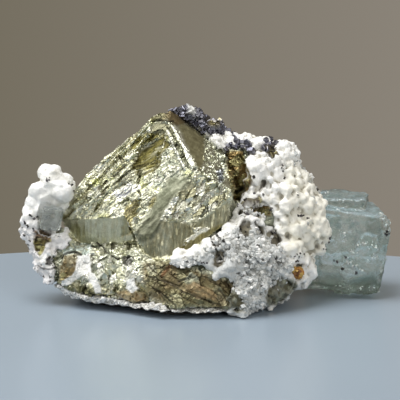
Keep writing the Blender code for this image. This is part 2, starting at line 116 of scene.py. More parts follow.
# Limits and places, in millimetres: the left face's serrated edge, the crystal's lower end at the back,
# the crust's reach at the back, the galena's top, how much lower than its solid the knob's top ends,
# and the heights between which the knob turns granular.
LEFT_EDGE_POINT = (-30.0, 4.6, 41.0)
CRYSTAL_FOOT = (22.0, 30.0)
BACK_LIMIT = SOLID_BOX[1][1] / MM - 0.4
GALENA_TOP = 56.2
KNOB_DROP = 1.5
KNOB_LOW = (27.0, 21.0)

# A piece with more triangles than this is thinned out.
MOST_TRIANGLES = 190000

# Grids of the pieces that have no setting of their own, in metres.
GALENA_GRID = 0.0003
CRUST_SOURCE_GRID = 0.0008
KNOB_SOURCE_GRID = 0.0006
SMALL_FLUORITE_GRID = 0.00024
ORANGE_GRID = 0.00016

# How many random places are tried for each piece, and the fixed start of its random draws.
GALENA_SPOTS = 900
CRUST_SPOTS = 12000
KNOB_SPOTS = 2400
SPECK_SPOTS = 260
FLECK_SPOTS = 240
GALENA_DRAW = 5
CRUST_DRAW = 7
GRAIN_DRAW = 9
KNOB_DRAW = 11
SPECK_DRAW = 13
FLECK_DRAW = 17

# The noise that parts the back of the crust into cream, white and drusy zones.
BACK_ZONE_SIZE = 9.0
BACK_ZONE_SEED = 161

# Optical values.
FLUORITE_IOR = 1.434
DOLOMITE_IOR = 1.6

# Tones on the sulphide, as linear values.
YELLOW_SHEEN = (0.70, 0.73, 0.31)
SHELL_OLIVE = (0.17, 0.15, 0.045)
FLAP_OLIVE = (0.31, 0.285, 0.11)
GROWTH_DARK = (0.12, 0.105, 0.045)
FLAT_OLIVE = (0.23, 0.22, 0.14)
FLAKE_WHITE = (0.92, 0.93, 0.90)
FLAKE_GREY = (0.33, 0.34, 0.40)
BAND_BRASS = (0.60, 0.58, 0.42)
BEVEL_GREEN = (0.125, 0.135, 0.09)
FRONT_BRASS = (0.34, 0.325, 0.205)
BLUE_GREY = (0.22, 0.24, 0.30)
RIDGE_SHADE = (0.20, 0.20, 0.13)
CAP_OLIVE = (0.13, 0.12, 0.055)
CAP_BROWN = (0.18, 0.115, 0.05)
ROCK_OLIVE = (0.19, 0.17, 0.085)
ROCK_BROWN = (0.15, 0.105, 0.05)
TAN = (0.36, 0.25, 0.12)
DOME_BROWN = (0.23, 0.17, 0.07)
DOME_GOLD = (0.55, 0.48, 0.20)
RUST_CRACK = (0.15, 0.07, 0.03)
ICE = (0.66, 0.76, 0.72)
FOOT_OLIVE = (0.16, 0.155, 0.075)
CRUMB_WHITE = (0.92, 0.92, 0.91)
HOLLOW_SHADE = (0.085, 0.075, 0.05)
SEAM_BROWN = (0.13, 0.09, 0.05)
GALENA_GLINT = (0.55, 0.55, 0.60)
SPECK_GREY = (0.11, 0.10, 0.12)

# Tones on the dolomite.
WARM_CREAM = (0.76, 0.70, 0.52)
CAVITY_GOLD = (0.55, 0.50, 0.26)
SPOT_BROWN = (0.19, 0.165, 0.10)
FISSURE_OLIVE = (0.21, 0.18, 0.085)
FISSURE_DARK = (0.08, 0.055, 0.035)
FISSURE_GOLD = (0.50, 0.46, 0.26)
ROCK_GREY = (0.20, 0.20, 0.15)
ROCK_DARK = (0.10, 0.09, 0.04)
# Painted shade for the crust's hollows.
CRUST_HOLLOW_SHADE = (0.36, 0.33, 0.25)
CREVICE_SHADE = (0.10, 0.085, 0.06)
GRAIN_GREY = (0.34, 0.36, 0.36)
KNOB_LILAC = (0.70, 0.68, 0.72)
KNOB_HOLLOW_SHADE = (0.40, 0.36, 0.30)
PATCH_BROWN = (0.14, 0.08, 0.03)
PATCH_OLIVE = (0.30, 0.27, 0.08)
PATCH_DARK = (0.06, 0.05, 0.03)
PATCH_GOLD = (0.60, 0.58, 0.30)
RIM_GREY = (0.70, 0.69, 0.65)
RIM_DIRT = (0.34, 0.32, 0.27)

# Tones of the fluorite, the orange grain and the stage.
FLUORITE_CLOUD = (0.78, 0.90, 0.89)
FLUORITE_DEEP = (0.15, 0.21, 0.16)
VEIL_WHITE = (0.92, 0.95, 0.95)
MILK_WHITE = (0.95, 0.97, 0.96)
FROST_AND_GLINT_GREY = (0.50, 0.47, 0.38)
FROST_AND_GLINT_WHITE = (1.0, 0.98, 0.92)
FLECK_GREY = (0.70, 0.80, 0.80)
FLECK_WHITE = (0.95, 0.96, 0.95)
SMALL_FLUORITE = (0.62, 0.65, 0.62)
SMALL_CLOUD = (0.80, 0.83, 0.81)
ORANGE_LIGHT = (0.66, 0.46, 0.12)
ORANGE_DARK = (0.16, 0.06, 0.015)
FLOOR_DARK = (0.29, 0.355, 0.425)
FLOOR_LIGHT = (0.31, 0.375, 0.445)
ROOM_LEFT = (0.180, 0.160, 0.120)
ROOM_RIGHT = (0.255, 0.228, 0.190)

# The big crystal on the picture, in px: its outline, faces, patches and lines.
CRYSTAL_PX = (
    (59, 219), (62, 208), (86, 172), (127, 139), (148, 112), (174, 106), (206, 134), (228, 176),
    (232, 196), (228, 223), (216, 231), (190, 250), (171, 258), (157, 262), (140, 252), (126, 242),
    (98, 243), (77, 243),
)
CAP_PX = ((146, 110), (176, 104), (190, 122), (176, 126), (168, 121), (152, 122))
UPPER_FLAP_PX = (
    (130, 149), (137, 139), (148, 133), (156, 133), (159, 136), (153, 140), (143, 145), (134, 149),
)
UPPER_FLAT_PX = ((151, 125), (158, 123), (170, 124), (174, 130), (168, 134), (158, 133), (152, 131))
OLIVE_SHELL_PX = (
    (142, 148), (152, 142), (163, 137), (170, 143), (170, 147), (162, 152), (160, 159), (159, 166),
    (153, 172), (146, 176), (138, 178), (134, 173), (130, 168), (136, 158),
)
PALE_FLAKE_PX = (
    (113, 191), (120, 187), (131, 184), (138, 184), (139, 188), (134, 193), (124, 198), (116, 201),
)
FLAKE_STREAK_PX = ((115, 196), (122, 195), (128, 191))
OLIVE_STREAK_PX = (
    (124, 207), (130, 201), (141, 199), (139, 207), (135, 215), (131, 223), (132, 234), (122, 236),
)
OLIVE_SPOT_PX = ((151, 198), (157, 195), (157, 201), (151, 207), (147, 206))
SANDY_PX = ((160, 152), (172, 142), (186, 168), (182, 184), (166, 196), (152, 200), (150, 182), (158, 166))
BRIGHT_FLECKS_PX = (
    (140, 196), (150, 194), (148, 204), (142, 216), (137, 226), (132, 235), (130, 230), (134, 214),
)
RIDGE_STRIP_PX = ((171, 126), (176, 125), (198, 170), (193, 171), (183, 149))
RIDGE_SHADE_PX = ((168, 127), (171, 127), (182, 147), (190, 168), (187, 169), (176, 148))
RIDGE_LINE_PX = ((167, 131), (175, 149), (185, 170))
SMOOTH_BEVEL_PX = (
    (168, 178), (188, 176), (193, 184), (180, 192), (174, 199), (167, 210), (163, 219), (161, 230),
    (152, 241), (138, 243), (132, 237), (140, 226), (147, 217), (151, 208), (156, 197), (163, 187),
)
BROKEN_PATCH_PX = (
    (172, 192), (186, 180), (200, 180), (222, 184), (228, 200), (214, 208), (196, 220), (182, 222),
    (170, 216),
)
BRIGHT_WEDGE_PX = ((173, 197), (177, 198), (172, 209), (168, 221), (160, 221), (166, 209))
FRONT_PX = (
    (133, 238), (149, 236), (158, 226), (161, 220), (181, 221), (192, 226), (196, 222), (216, 208),
    (228, 200), (230, 222), (216, 232), (190, 251), (171, 259), (157, 263), (142, 254), (134, 247),
)
BRIGHT_RIDGE_PX = (
    (193, 228), (208, 227), (210, 229), (200, 234), (190, 242), (182, 249), (185, 241), (194, 234),
)
OLIVE_FOOT_PX = ((190, 236), (226, 222), (216, 232), (190, 250), (172, 257), (182, 246))
OLIVE_RIGHT_PX = ((177, 121), (190, 125), (204, 136), (205, 160), (199, 171), (190, 152), (180, 130))
GREY_RIGHT_PX = ((204, 136), (222, 152), (228, 176), (224, 192), (208, 186), (199, 171), (205, 158))
BLUE_SPOT_PX = ((217, 171), (224, 168), (224, 182), (219, 183))
GROWTH_LINES_PX = (
    ((127, 166), (112, 178), (99, 189)),
    ((130, 171), (118, 181), (108, 188), (98, 198)),
    ((133, 181), (122, 185), (113, 191)),
    ((112, 159), (119, 157), (124, 163)),
    ((86, 184), (92, 187)),
    ((140, 176), (136, 186), (140, 196)),
)
CAP_CRACK_PX = ((151, 122), (157, 120), (166, 121), (174, 121))

# The granular mass below it.
LOWER_ZONE_PX = ((56, 240), (139, 234), (157, 261), (171, 256), (180, 312), (60, 306))
LOWER_BROWN_PX = (
    (140, 262), (170, 258), (200, 272), (232, 282), (240, 300), (222, 308), (190, 306), (160, 302),
    (145, 294),
)
LOWER_OLIVE_PX = (
    (56, 283), (64, 287), (80, 284), (88, 288), (102, 294), (118, 302), (112, 307), (84, 302), (60, 293),
)
TAN_FACET_PX = ((184, 285), (194, 282), (212, 290), (217, 296), (214, 300), (196, 298))
TAN_LEDGE_PX = ((117, 292), (126, 290), (142, 292), (148, 299), (140, 303), (120, 303))
LEFT_DOME_PX = ((60, 281), (60, 266), (66, 255), (75, 252), (81, 257), (77, 266), (78, 274), (68, 281))
WHITE_BITS_PX = (
    (
        (78, 256), (88, 254), (91, 264), (90, 273), (80, 276), (70, 284), (62, 286), (62, 281), (72, 276),
        (77, 266),
    ),
    ((89, 272), (95, 274), (100, 284), (101, 292), (96, 292), (90, 282)),
    ((126, 281), (134, 279), (137, 288), (133, 292), (127, 288)),
)
ICY_BITS_PX = (
    (52, 234), (60, 232), (74, 240), (84, 240), (92, 248), (88, 256), (74, 250), (66, 256), (56, 250),
)
PALE_CHIPS_PX = (
    ((95, 263), (102, 261), (105, 268), (98, 273)),
    ((106, 276), (114, 274), (117, 279), (109, 282)),
)
PIT_PX = ((122, 256), (130, 255), (132, 261), (128, 266), (122, 264))
ORANGE_CRACK_PX = ((172, 263), (167, 269), (162, 276))
ROCK_CRACKS_PX = (
    ((150, 277), (164, 280), (184, 292), (214, 304)),
    ((178, 283), (188, 279), (192, 276)),
    ((152, 288), (168, 298), (176, 308)),
    ((218, 290), (228, 298), (244, 300)),
)
DOME_CRACK_PX = ((62, 258), (67, 253), (74, 251), (81, 255))
SIDE_CRACK_PX = ((97, 243), (107, 252), (117, 259))

# The crust on the right: its kinds of grain, and where rock and hollows show through.
DRUSY_PX = (
    (178, 264), (200, 254), (222, 242), (236, 228), (254, 224), (268, 240), (284, 250), (292, 264),
    (288, 277), (276, 279), (267, 290), (262, 318), (244, 314), (243, 300), (238, 288), (224, 284),
    (206, 282), (190, 278),
)
CREAM_PX = ((286, 160), (316, 168), (330, 196), (340, 240), (320, 262), (290, 252), (280, 226), (284, 190))
SNOW_LOW_PX = (
    (194, 266), (206, 260), (222, 260), (238, 262), (246, 268), (236, 278), (222, 284), (202, 282),
)
SNOW_RIM_PX = (
    (166, 259), (190, 246), (214, 230), (230, 210), (246, 196), (262, 186), (262, 192), (246, 206),
    (236, 220), (222, 238), (198, 254), (176, 264),
)
SNOW_PATCH_PX = (
    (202, 132), (212, 134), (222, 133), (230, 130), (246, 130), (246, 138), (238, 140), (231, 144),
    (227, 151), (222, 152), (212, 144),
)
CAVITY_PX = (
    (226, 154), (234, 151), (244, 152), (245, 164), (250, 176), (252, 186), (246, 192), (236, 199),
    (229, 192), (226, 182), (227, 168),
)
FISSURE_PX = (
    (239, 213), (246, 206), (252, 200), (260, 194), (267, 204), (272, 216), (262, 219), (250, 215),
)
BROWN_SPOTS_PX = (
    ((267, 231), (276, 230), (282, 240), (278, 248), (268, 242)),
    ((257, 224), (263, 226), (264, 236), (258, 234)),
    ((240, 224), (250, 223), (252, 230), (246, 238), (239, 234)),
    ((214, 252), (222, 249), (226, 254), (222, 266), (215, 266)),
    ((314, 258), (325, 257), (328, 264), (317, 267)),
)
OLIVE_ROCK_PX = (
    ((270, 283), (280, 277), (293, 279), (297, 287), (288, 298), (278, 305), (266, 306), (266, 294)),
    ((216, 289), (228, 286), (240, 291), (246, 306), (240, 312), (226, 310), (214, 306)),
)
CREVICES_PX = (
    ((238, 215), (246, 211), (256, 207)),
    ((256, 223), (259, 231), (262, 238)),
    ((273, 231), (279, 243), (283, 251)),
    ((265, 183), (260, 190)),
    ((262, 238), (268, 243), (279, 247)),
    ((244, 222), (240, 230), (237, 239)),
    ((213, 236), (213, 244), (219, 246), (220, 239)),
    ((276, 263), (280, 258)),
    ((216, 250), (219, 258), (217, 266)),
)

# The knob on the left.
LEFT_PATCH_PX = (
    (34, 231), (42, 229), (50, 234), (51, 242), (46, 243), (44, 250), (40, 257), (36, 252), (34, 242),
)
PIT_RING_PX = ((40, 257), (46, 253), (53, 253), (58, 258), (57, 265), (51, 268), (43, 266), (40, 262))
KNOB_PIT_PX = ((46, 259), (51, 258), (53, 263), (50, 266), (46, 264))
PIT_ARC_PX = ((38, 266), (44, 269), (51, 269.5), (57, 266))

# The fluorite: its rounded corner, a smoky patch, a bright patch that is painted as a highlight, flecks, and
# the small grey cube.
FLUORITE_CORNER_PX = (
    (330, 196), (341, 192), (366, 193), (373, 203), (381, 211), (389, 216), (392, 228), (390, 262),
    (385, 282), (382, 294), (330, 296), (318, 270),
)
SMOKY_CORNER_PX = ((367, 218), (379, 216), (382, 236), (372, 238), (366, 230))
GLINT_PX = ((380, 216), (384, 213), (388, 219), (391, 231), (387, 234), (383, 230), (381, 224))
FLUORITE_FLECK_PX = (
    (364, 208), (366, 210), (382, 215), (384, 217), (383, 220), (386, 221), (385, 224), (388, 226),
    (386, 229), (384, 226), (389, 222), (382, 218), (388, 230), (360, 243), (363, 241), (357, 246),
    (366, 244), (369, 248), (352, 252), (355, 255), (347, 262), (350, 260), (344, 261), (372, 256),
    (375, 259), (378, 257), (368, 262), (361, 268), (356, 264), (374, 244), (377, 248), (340, 232),
    (345, 236), (338, 286), (350, 288), (362, 286), (330, 291), (342, 293), (356, 291), (371, 288),
)
SMALL_FLUORITE_PX = ((39, 214), (48, 202), (58, 200), (68, 202), (63, 214), (60, 230), (40, 229))
SMALL_GLINT_PX = ((51, 214), (55, 214), (55, 218), (51, 218))

# Dark specks and galena: single places, and patches of gold and white on the galena.
SPECK_PX = (
    (282, 166), (283, 170), (253, 178), (298, 193), (298, 206), (272, 209), (301, 216), (263, 196),
    (330, 239), (329, 242), (327, 245), (325, 248), (338, 237), (333, 234), (309, 219), (276, 232),
    (265, 213), (258, 214), (212, 238), (214, 235), (218, 235), (221, 238), (221, 243), (218, 247),
    (214, 246), (212, 242), (224, 240), (227, 232), (238, 206), (246, 199), (254, 193), (292, 257),
    (295, 255), (299, 257), (299, 261), (296, 262), (278, 263), (281, 261), (281, 265), (276, 258),
    (190, 263), (194, 262), (198, 261), (202, 262), (206, 263), (241, 228), (244, 232), (240, 237),
    (252, 252), (262, 258), (270, 270), (246, 262), (258, 246), (270, 252), (248, 284), (262, 286),
    (268, 296), (274, 300), (320, 260), (323, 262), (318, 255), (334, 244), (285, 178),
)
KNOB_SPECK_PX = (
    (24, 220), (25, 222), (28, 226), (29, 227), (31, 215), (36, 217), (38, 218), (34, 219), (46, 178),
    (49, 179), (27, 234), (31, 240), (47, 258), (50, 258), (52, 261), (51, 265), (47, 264), (55, 267),
    (38, 268), (44, 271), (33, 229), (23, 228), (56, 263),
)
FLUORITE_SPECK_PX = (
    (386, 232), (388, 234), (387, 235), (346, 257), (349, 263), (342, 270), (356, 274), (336, 262),
)
GALENA_PATCHES_PX = (
    (227, 146), (231, 144), (235, 143), (239, 142), (243, 142), (247, 142), (250, 145), (246, 147),
    (242, 147), (238, 147), (234, 148), (230, 150), (240, 151), (245, 151), (249, 149), (236, 152),
    (251, 151), (226, 150), (266, 140), (270, 139), (274, 141), (277, 144), (267, 145), (271, 145),
    (275, 148), (268, 150), (272, 152), (276, 154), (272, 156), (265, 148), (220, 174), (222, 178),
    (220, 181), (223, 173), (223, 182),
)
GOLD_PATCHES_PX = (
    ((208, 116), (222, 116), (222, 126), (208, 126)),
    ((266, 146), (278, 146), (278, 158), (266, 158)),
)
WHITE_TIP_PX = ((186, 103), (194, 106), (197, 114), (191, 112))

# Round lumps of the white crust and of the knob: px across, px down and radius in px.
CRUST_LUMPS_PX = (
    (239, 135, 6), (262, 137, 6), (277, 138, 9), (287, 146, 7), (257, 145, 5), (250, 136, 5),
    (252, 159, 10), (262, 169, 12), (257, 178, 7), (275, 160, 8), (286, 158, 6), (279, 175, 9),
    (297, 166, 7), (305, 173, 6), (313, 178, 5), (300, 181, 7), (289, 188, 6), (275, 199, 8),
    (284, 202, 6), (313, 187, 8), (304, 196, 6), (295, 200, 7), (319, 200, 6), (326, 209, 11),
    (310, 208, 7), (277, 214, 5), (276, 224, 5), (299, 215, 10), (321, 225, 11), (334, 222, 6),
    (332, 232, 6), (297, 232, 10), (289, 245, 9), (306, 240, 9), (315, 245, 11), (326, 240, 6),
    (299, 253, 7), (309, 257, 6), (286, 222, 5), (234, 213, 3.5), (238, 209, 3.5), (243, 205, 3.5),
    (248, 201, 3.2), (253, 197, 3.2), (258, 193, 3.2), (263, 189, 3), (233, 224, 3), (237, 220, 3),
    (242, 218, 3), (248, 218, 3), (253, 221, 3), (257, 225, 3), (172, 259, 4), (179, 257, 4),
    (187, 254, 4), (195, 251, 4.5), (203, 247, 4), (209, 243, 4), (215, 237, 4), (221, 231, 4),
    (227, 225, 4), (231, 218, 3.5), (200, 270, 6), (210, 267, 7), (221, 269, 8), (232, 268, 7),
    (241, 267, 5), (205, 276, 4), (216, 277, 4.5), (228, 276, 5), (288, 266, 9), (295, 261, 5),
)
SNOW_LUMPS_PX = (
    (207, 135, 4), (213, 137, 5), (220, 139, 5.5), (227, 140, 5), (234, 141, 4), (216, 143, 4),
    (223, 146, 4.5), (230, 146, 3.5), (228, 135, 4), (234, 134, 4.5), (240, 135, 4.5), (245, 134, 4),
)
KNOB_LUMPS_PX = (
    (53, 173, 12.5), (62, 192, 10.5), (66, 180, 5), (38, 191, 13.5), (33, 204, 10), (44, 206, 9),
    (29, 213, 7), (45, 183, 8), (55, 203, 6), (26, 225, 5), (31, 232, 5), (57, 241, 4), (38, 262, 5),
    (46, 270, 5), (56, 258, 4),
)


def photo_place(points):
    """Where points fall on the picture, as px across and px down."""
    offset = points - VIEW_PLACE
    depth = offset[:, 1] * math.cos(VIEW_TILT) - offset[:, 2] * math.sin(VIEW_TILT)
    rise = offset[:, 1] * math.sin(VIEW_TILT) + offset[:, 2] * math.cos(VIEW_TILT)
    across = VIEW_CENTRE + VIEW_FOCUS * offset[:, 0] / depth
    down = VIEW_CENTRE - VIEW_FOCUS * rise / depth
    return across, down


def sight_line(across, down):
    """The direction from the viewpoint through a place on the picture."""
    right = (across - VIEW_CENTRE) / VIEW_FOCUS
    up = (VIEW_CENTRE - down) / VIEW_FOCUS
    cos_tilt = math.cos(VIEW_TILT)
    sin_tilt = math.sin(VIEW_TILT)
    return Vector((right, cos_tilt + up * sin_tilt, -sin_tilt + up * cos_tilt)).normalized()


def ease(values, low, high):
    """A smooth rise from 0 at low to 1 at high."""
    share = np.clip((values - low) / (high - low), 0.0, 1.0)
    return share * share * (3.0 - 2.0 * share)


def unit(direction):
    """The direction with a length of 1."""
    direction = np.array(direction, float)
    return direction / np.linalg.norm(direction)


def line_distance(across, down, corners, closed):
    """The distance in px to the nearest of the straight lines through the corners."""
    corners = np.array(corners, float)
    ends = np.roll(corners, -1, axis=0) if closed else corners[1:]
    nearest = np.full(len(across), 1e9)
    for start, end in zip(corners, ends):
        edge = end - start
        along = (across - start[0]) * edge[0] + (down - start[1]) * edge[1]
        along = np.clip(along / (edge @ edge), 0.0, 1.0)
        gap = np.hypot(across - start[0] - along * edge[0], down - start[1] - along * edge[1])
        nearest = np.minimum(nearest, gap)
    return nearest


def within(across, down, corners, rim):
    """1 inside an outline on the picture and 0 outside, with a soft rim that many px wide."""
    inside = np.zeros(len(across), bool)
    for (x0, y0), (x1, y1) in zip(corners, corners[1:] + corners[:1]):
        if y0 != y1:
            crosses = (y0 > down) != (y1 > down)
            inside ^= crosses & (across < x0 + (down - y0) * (x1 - x0) / (y1 - y0))
    nearest = line_distance(across, down, corners, True)
    return ease(np.where(inside, nearest, -nearest), -rim, rim)


def near_line(across, down, corners, width):
    """1 on a line on the picture, falling to 0 that many px away."""
    return 1.0 - ease(line_distance(across, down, corners, False), 0.3 * width, width)


def scatter_values(cells, seed):
    """A fixed value from 0 to 1 for each whole-number cell."""
    mixed = cells[:, 0] * 73856093 ^ cells[:, 1] * 19349663 ^ cells[:, 2] * 83492791 ^ seed * 2654435761
    mixed = (mixed ^ (mixed >> 13)) * 1274126177 & 0x7FFFFFFF
    mixed = (mixed ^ (mixed >> 15)) * 2246822519 & 0x7FFFFFFF
    return ((mixed ^ (mixed >> 11)) & 0xFFFFF) / float(0xFFFFF)


def soft_noise(points, size, seed):
    """Smooth noise from -1 to 1 with lumps about that many millimetres across."""
    place = points / size
    corner = np.floor(place).astype(np.int64)
    share = place - corner
    share = share * share * (3.0 - 2.0 * share)
    total = np.zeros(len(points))
    for step in np.ndindex(2, 2, 2):
        weight = np.prod(np.where(np.array(step) == 1, share, 1.0 - share), axis=1)
        total += weight * scatter_values(corner + np.array(step), seed)
    return 2.0 * total - 1.0


def layered_noise(points, size, seed, layers=3):
    """Soft noise with finer and weaker noise on top."""
    total = np.zeros(len(points))
    strength = 1.0
    for layer in range(layers):
        total += strength * soft_noise(points, size * 0.5**layer, seed + 31 * layer)
        strength *= 0.55
    return total


def squeezed(points, direction, share):
    """The points with their spread along one direction cut to a share, which draws patterns out along it."""
    direction = unit(direction)
    return points - np.outer(points @ direction, direction) * (1.0 - share)


def lined(points, sizes, seeds, depths):
    """Sharp ridges: 1 where both noises are 0, and lower away from there."""
    layers = zip(sizes, seeds, depths)
    ridges = [np.abs(soft_noise(points, size, seed)) * depth for size, seed, depth in layers]
    return 1.0 - ridges[0] - ridges[1]


class Plates:
    """Cell by cell chips: a random level, a random slope across the cell, and the way to its rim."""

    def __init__(self, points, size, seed):
        place = points / size
        home = np.floor(place).astype(np.int64)
        nearest = np.full(len(points), 1e9)
        second = np.full(len(points), 1e9)
        offset = np.zeros((len(points), 3))
        chosen = np.zeros((len(points), 3), np.int64)
        for step in np.ndindex(3, 3, 3):
            cell = home + np.array(step) - 1
            away = place - cell - self.cell_values(cell, seed)
            gap = np.sum(away * away, axis=1)
            closer = gap < nearest
            second = np.where(closer, nearest, np.minimum(second, gap))
            nearest = np.where(closer, gap, nearest)
            offset[closer] = away[closer]
            chosen[closer] = cell[closer]
        lean = self.cell_values(chosen, seed + 7) * 2.0 - 1.0
        self.level = scatter_values(chosen, seed + 11)
        self.slope = np.sum(offset * lean, axis=1) * size
        self.rim = np.sqrt(second) - np.sqrt(nearest)

    @staticmethod
    def cell_values(cells, seed):
        """Three fixed values from 0 to 1 for each cell."""
        return np.stack([scatter_values(cells, seed + axis) for axis in range(3)], axis=1)

    def relief(self, slope, step, middle=0.5):
        """Heights in millimetres from shares of the slope and of the level."""
        return slope * self.slope + step * (self.level - middle)


class Skin:
    """Points in millimetres with their normals, and where they fall on the picture."""

    def __init__(self, points, normals, turn=(-0.2, 0.1), wander=0.0, size=1.0, seed=0):
        """Turn is the lean towards the viewer over which front rises; wander frays the outlines, in px."""
        self.points = points
        self.normals = normals
        self.front = ease(normals @ TO_VIEWER, *turn)
        self.across, self.down = photo_place(points)
        self.soft_across = self.across
        self.soft_down = self.down
        if wander:
            self.soft_across = self.across + wander * layered_noise(points, size, seed)
            self.soft_down = self.down + wander * layered_noise(points, size, seed + 1)

    def noise(self, size, seed, layers=3):
        return layered_noise(self.points, size, seed, layers)

    def drawn_noise(self, direction, share, size, seed):
        """Layered noise drawn out along a direction."""
        return layered_noise(squeezed(self.points, direction, share), size, seed)

    def inside(self, corners, rim):
        """The share inside an outline with a frayed rim, on both sides of the specimen."""
        return within(self.soft_across, self.soft_down, corners, rim)

    def seen(self, corners, rim=1.5):
        """The share inside an outline with a frayed rim, on the side that the viewer sees."""
        return self.inside(corners, rim) * self.front

    def sharp(self, corners, rim=0.8):
        """The share inside an outline with a clean rim, on the side that the viewer sees."""
        return within(self.across, self.down, corners, rim) * self.front

    def any_seen(self, outlines, rim):
        """The largest share in any of the outlines."""
        return np.max([self.seen(corners, rim) for corners in outlines], axis=0)

    def line(self, corners, width):
        """The share near a frayed line."""
        return near_line(self.soft_across, self.soft_down, corners, width)

    def any_line(self, lines, width):
        """The largest share near any of the frayed lines."""
        return np.max([self.line(corners, width) for corners in lines], axis=0)

    def sharp_line(self, corners, width):
        """The share near a clean line."""
        return near_line(self.across, self.down, corners, width)

    def back_zone(self):
        """The noise that parts the unseen back of the crust into zones."""
        return self.noise(BACK_ZONE_SIZE, BACK_ZONE_SEED)

    def drusy(self, rim=4.0):
        """The share of fine drusy grain."""
        behind = (1 - self.front) * ease(-self.back_zone(), 0.2, 0.6)
        return np.maximum(self.seen(DRUSY_PX, rim), behind)


def mesh_points(mesh):
    """The mesh's points in millimetres."""
    values = np.empty(len(mesh.vertices) * 3, np.float32)
    mesh.vertices.foreach_get("co", values)
    return values.reshape(-1, 3).astype(float) / MM


def mesh_normals(mesh):
    """The normals at the mesh's points."""
    values = np.empty(len(mesh.vertices) * 3, np.float32)
    mesh.vertex_normals.foreach_get("vector", values)
    return values.reshape(-1, 3).astype(float)


def mesh_skin(mesh, *settings):
    """The skin of a whole mesh, with Skin's settings."""
    return Skin(mesh_points(mesh), mesh_normals(mesh), *settings)


def hollowness(mesh, rounds):
    """How far each point lies below its smoothed surroundings, in millimetres."""
    edges = np.empty(len(mesh.edges) * 2, np.int32)
    mesh.edges.foreach_get("vertices", edges)
    first, second = edges.reshape(-1, 2).T
    points = mesh_points(mesh)
    count = len(points)
    links = np.bincount(first, minlength=count) + np.bincount(second, minlength=count)
    level = points.copy()
    for _ in range(rounds):
        total = [
            np.bincount(first, level[second, axis], count) + np.bincount(second, level[first, axis], count)
            for axis in range(3)
        ]
        level = 0.5 * level + 0.5 * np.stack(total, axis=1) / np.maximum(links, 1)[:, None]
    return np.sum((level - points) * mesh_normals(mesh), axis=1)


def set_points(mesh, points):
    """Moves the mesh's points to places in millimetres."""
    mesh.vertices.foreach_set("co", (points * MM).astype(np.float32).ravel())
    mesh.update()


def raise_points(mesh, skin, height):
    """Moves the skin's points out along their normals, and returns the new places."""
    moved = skin.points + skin.normals * height[:, None]
    set_points(mesh, moved)
    return moved


def on_table(points):
    """The points with none below the table."""
    points[:, 2] = np.maximum(points[:, 2], 0.0)
    return points


def drawn_in(moved, shares, reach):
    """The points pulled towards their middle, but not along the view, by shares of a reach in millimetres."""
    pull = moved.mean(axis=0) - moved
    pull[:, 1] = 0.0
    pull /= np.linalg.norm(pull, axis=1)[:, None]
    return moved + pull * (reach * shares)[:, None]


def painted(base, count, *layers):
    """A base colour at each point, with other colours laid over it in order, each by its share."""
    skin = np.tile(np.array(base), (count, 1))
    for colour, share in layers:
        skin = skin + (np.array(colour)[None, :3] - skin) * share[:, None]
    return skin


def paint(mesh, colours, **values):
    """Keeps the colours and single values at the mesh's points, for its material to read."""
    attribute = mesh.color_attributes.new("skin", "FLOAT_COLOR", "POINT")
    full = np.ones((len(colours), 4), np.float32)
    full[:, :3] = np.clip(colours, 0.0, 1.0)
    attribute.data.foreach_set("color", full.ravel())
    set_values(mesh, **values)


def set_values(mesh, **values):
    """Keeps single values, or one value for all, at the mesh's points."""
    for name, value in values.items():
        attribute = mesh.attributes.new(name, "FLOAT", "POINT")
        attribute.data.foreach_set("value", np.full(len(mesh.vertices), value, np.float32))


def make_object(name, mesh):
    """An object for the mesh, in the scene."""
    piece = bpy.data.objects.new(name, mesh)
    bpy.context.scene.collection.objects.link(piece)
    return piece


def mesh_from(name, points, faces):
    """A mesh from points in millimetres and an array of faces with the same number of corners."""
    mesh = bpy.data.meshes.new(name)
    faces = np.asarray(faces, np.int32)
    corners = faces.shape[1]
    mesh.vertices.add(len(points))
    mesh.vertices.foreach_set("co", (np.asarray(points) * MM).astype(np.float32).ravel())
    mesh.loops.add(faces.size)
    mesh.loops.foreach_set("vertex_index", faces.ravel())
    mesh.polygons.add(len(faces))
    mesh.polygons.foreach_set("loop_start", np.arange(0, faces.size, corners, dtype=np.int32))
    mesh.update(calc_edges=True)
    mesh.validate()
    return mesh


def with_modifiers(piece):
    """Swaps the piece's mesh for the one that its modifiers make."""
    graph = bpy.context.evaluated_depsgraph_get()
    made = bpy.data.meshes.new_from_object(piece.evaluated_get(graph))
    piece.modifiers.clear()
    old = piece.data
    piece.data = made
    bpy.data.meshes.remove(old)
    return piece


def node_copy(node, name):
    """A free copy of one of the frame's solids, with its corners joined."""
    source = bmesh.new()
    source.from_mesh(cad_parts[node].data)
    bmesh.ops.remove_doubles(source, verts=source.verts, dist=1e-6)
    mesh = bpy.data.meshes.new(name)
    source.to_mesh(mesh)
    source.free()
    return make_object(name, mesh)


def regrid(piece, grid, smoothing):
    """Rebuilds the piece as one closed skin of small even squares, smoothed in that many rounds."""
    remesh = piece.modifiers.new("grid", "REMESH")
    remesh.mode = "VOXEL"
    remesh.voxel_size = grid
    smooth = piece.modifiers.new("smooth", "SMOOTH")
    smooth.factor = 0.5
    smooth.iterations = smoothing
    return with_modifiers(piece)


def thin_out(piece):
    """Joins small faces until the piece is light enough, first on the side away from the viewer."""
    triangles = sum(len(face.vertices) - 2 for face in piece.data.polygons)
    if triangles <= MOST_TRIANGLES:
        return
    away = piece.vertex_groups.new(name="away")
    weights = ease(mesh_normals(piece.data) @ TO_VIEWER, 0.1, -0.3)
    for index in np.flatnonzero(weights > 0.0).tolist():
        away.add([index], float(weights[index]), "REPLACE")
    thin = piece.modifiers.new("thin", "DECIMATE")
    thin.ratio = MOST_TRIANGLES / triangles
    thin.vertex_group = "away"
    thin.vertex_group_factor = 1.0
    with_modifiers(piece)
    piece.vertex_groups.clear()


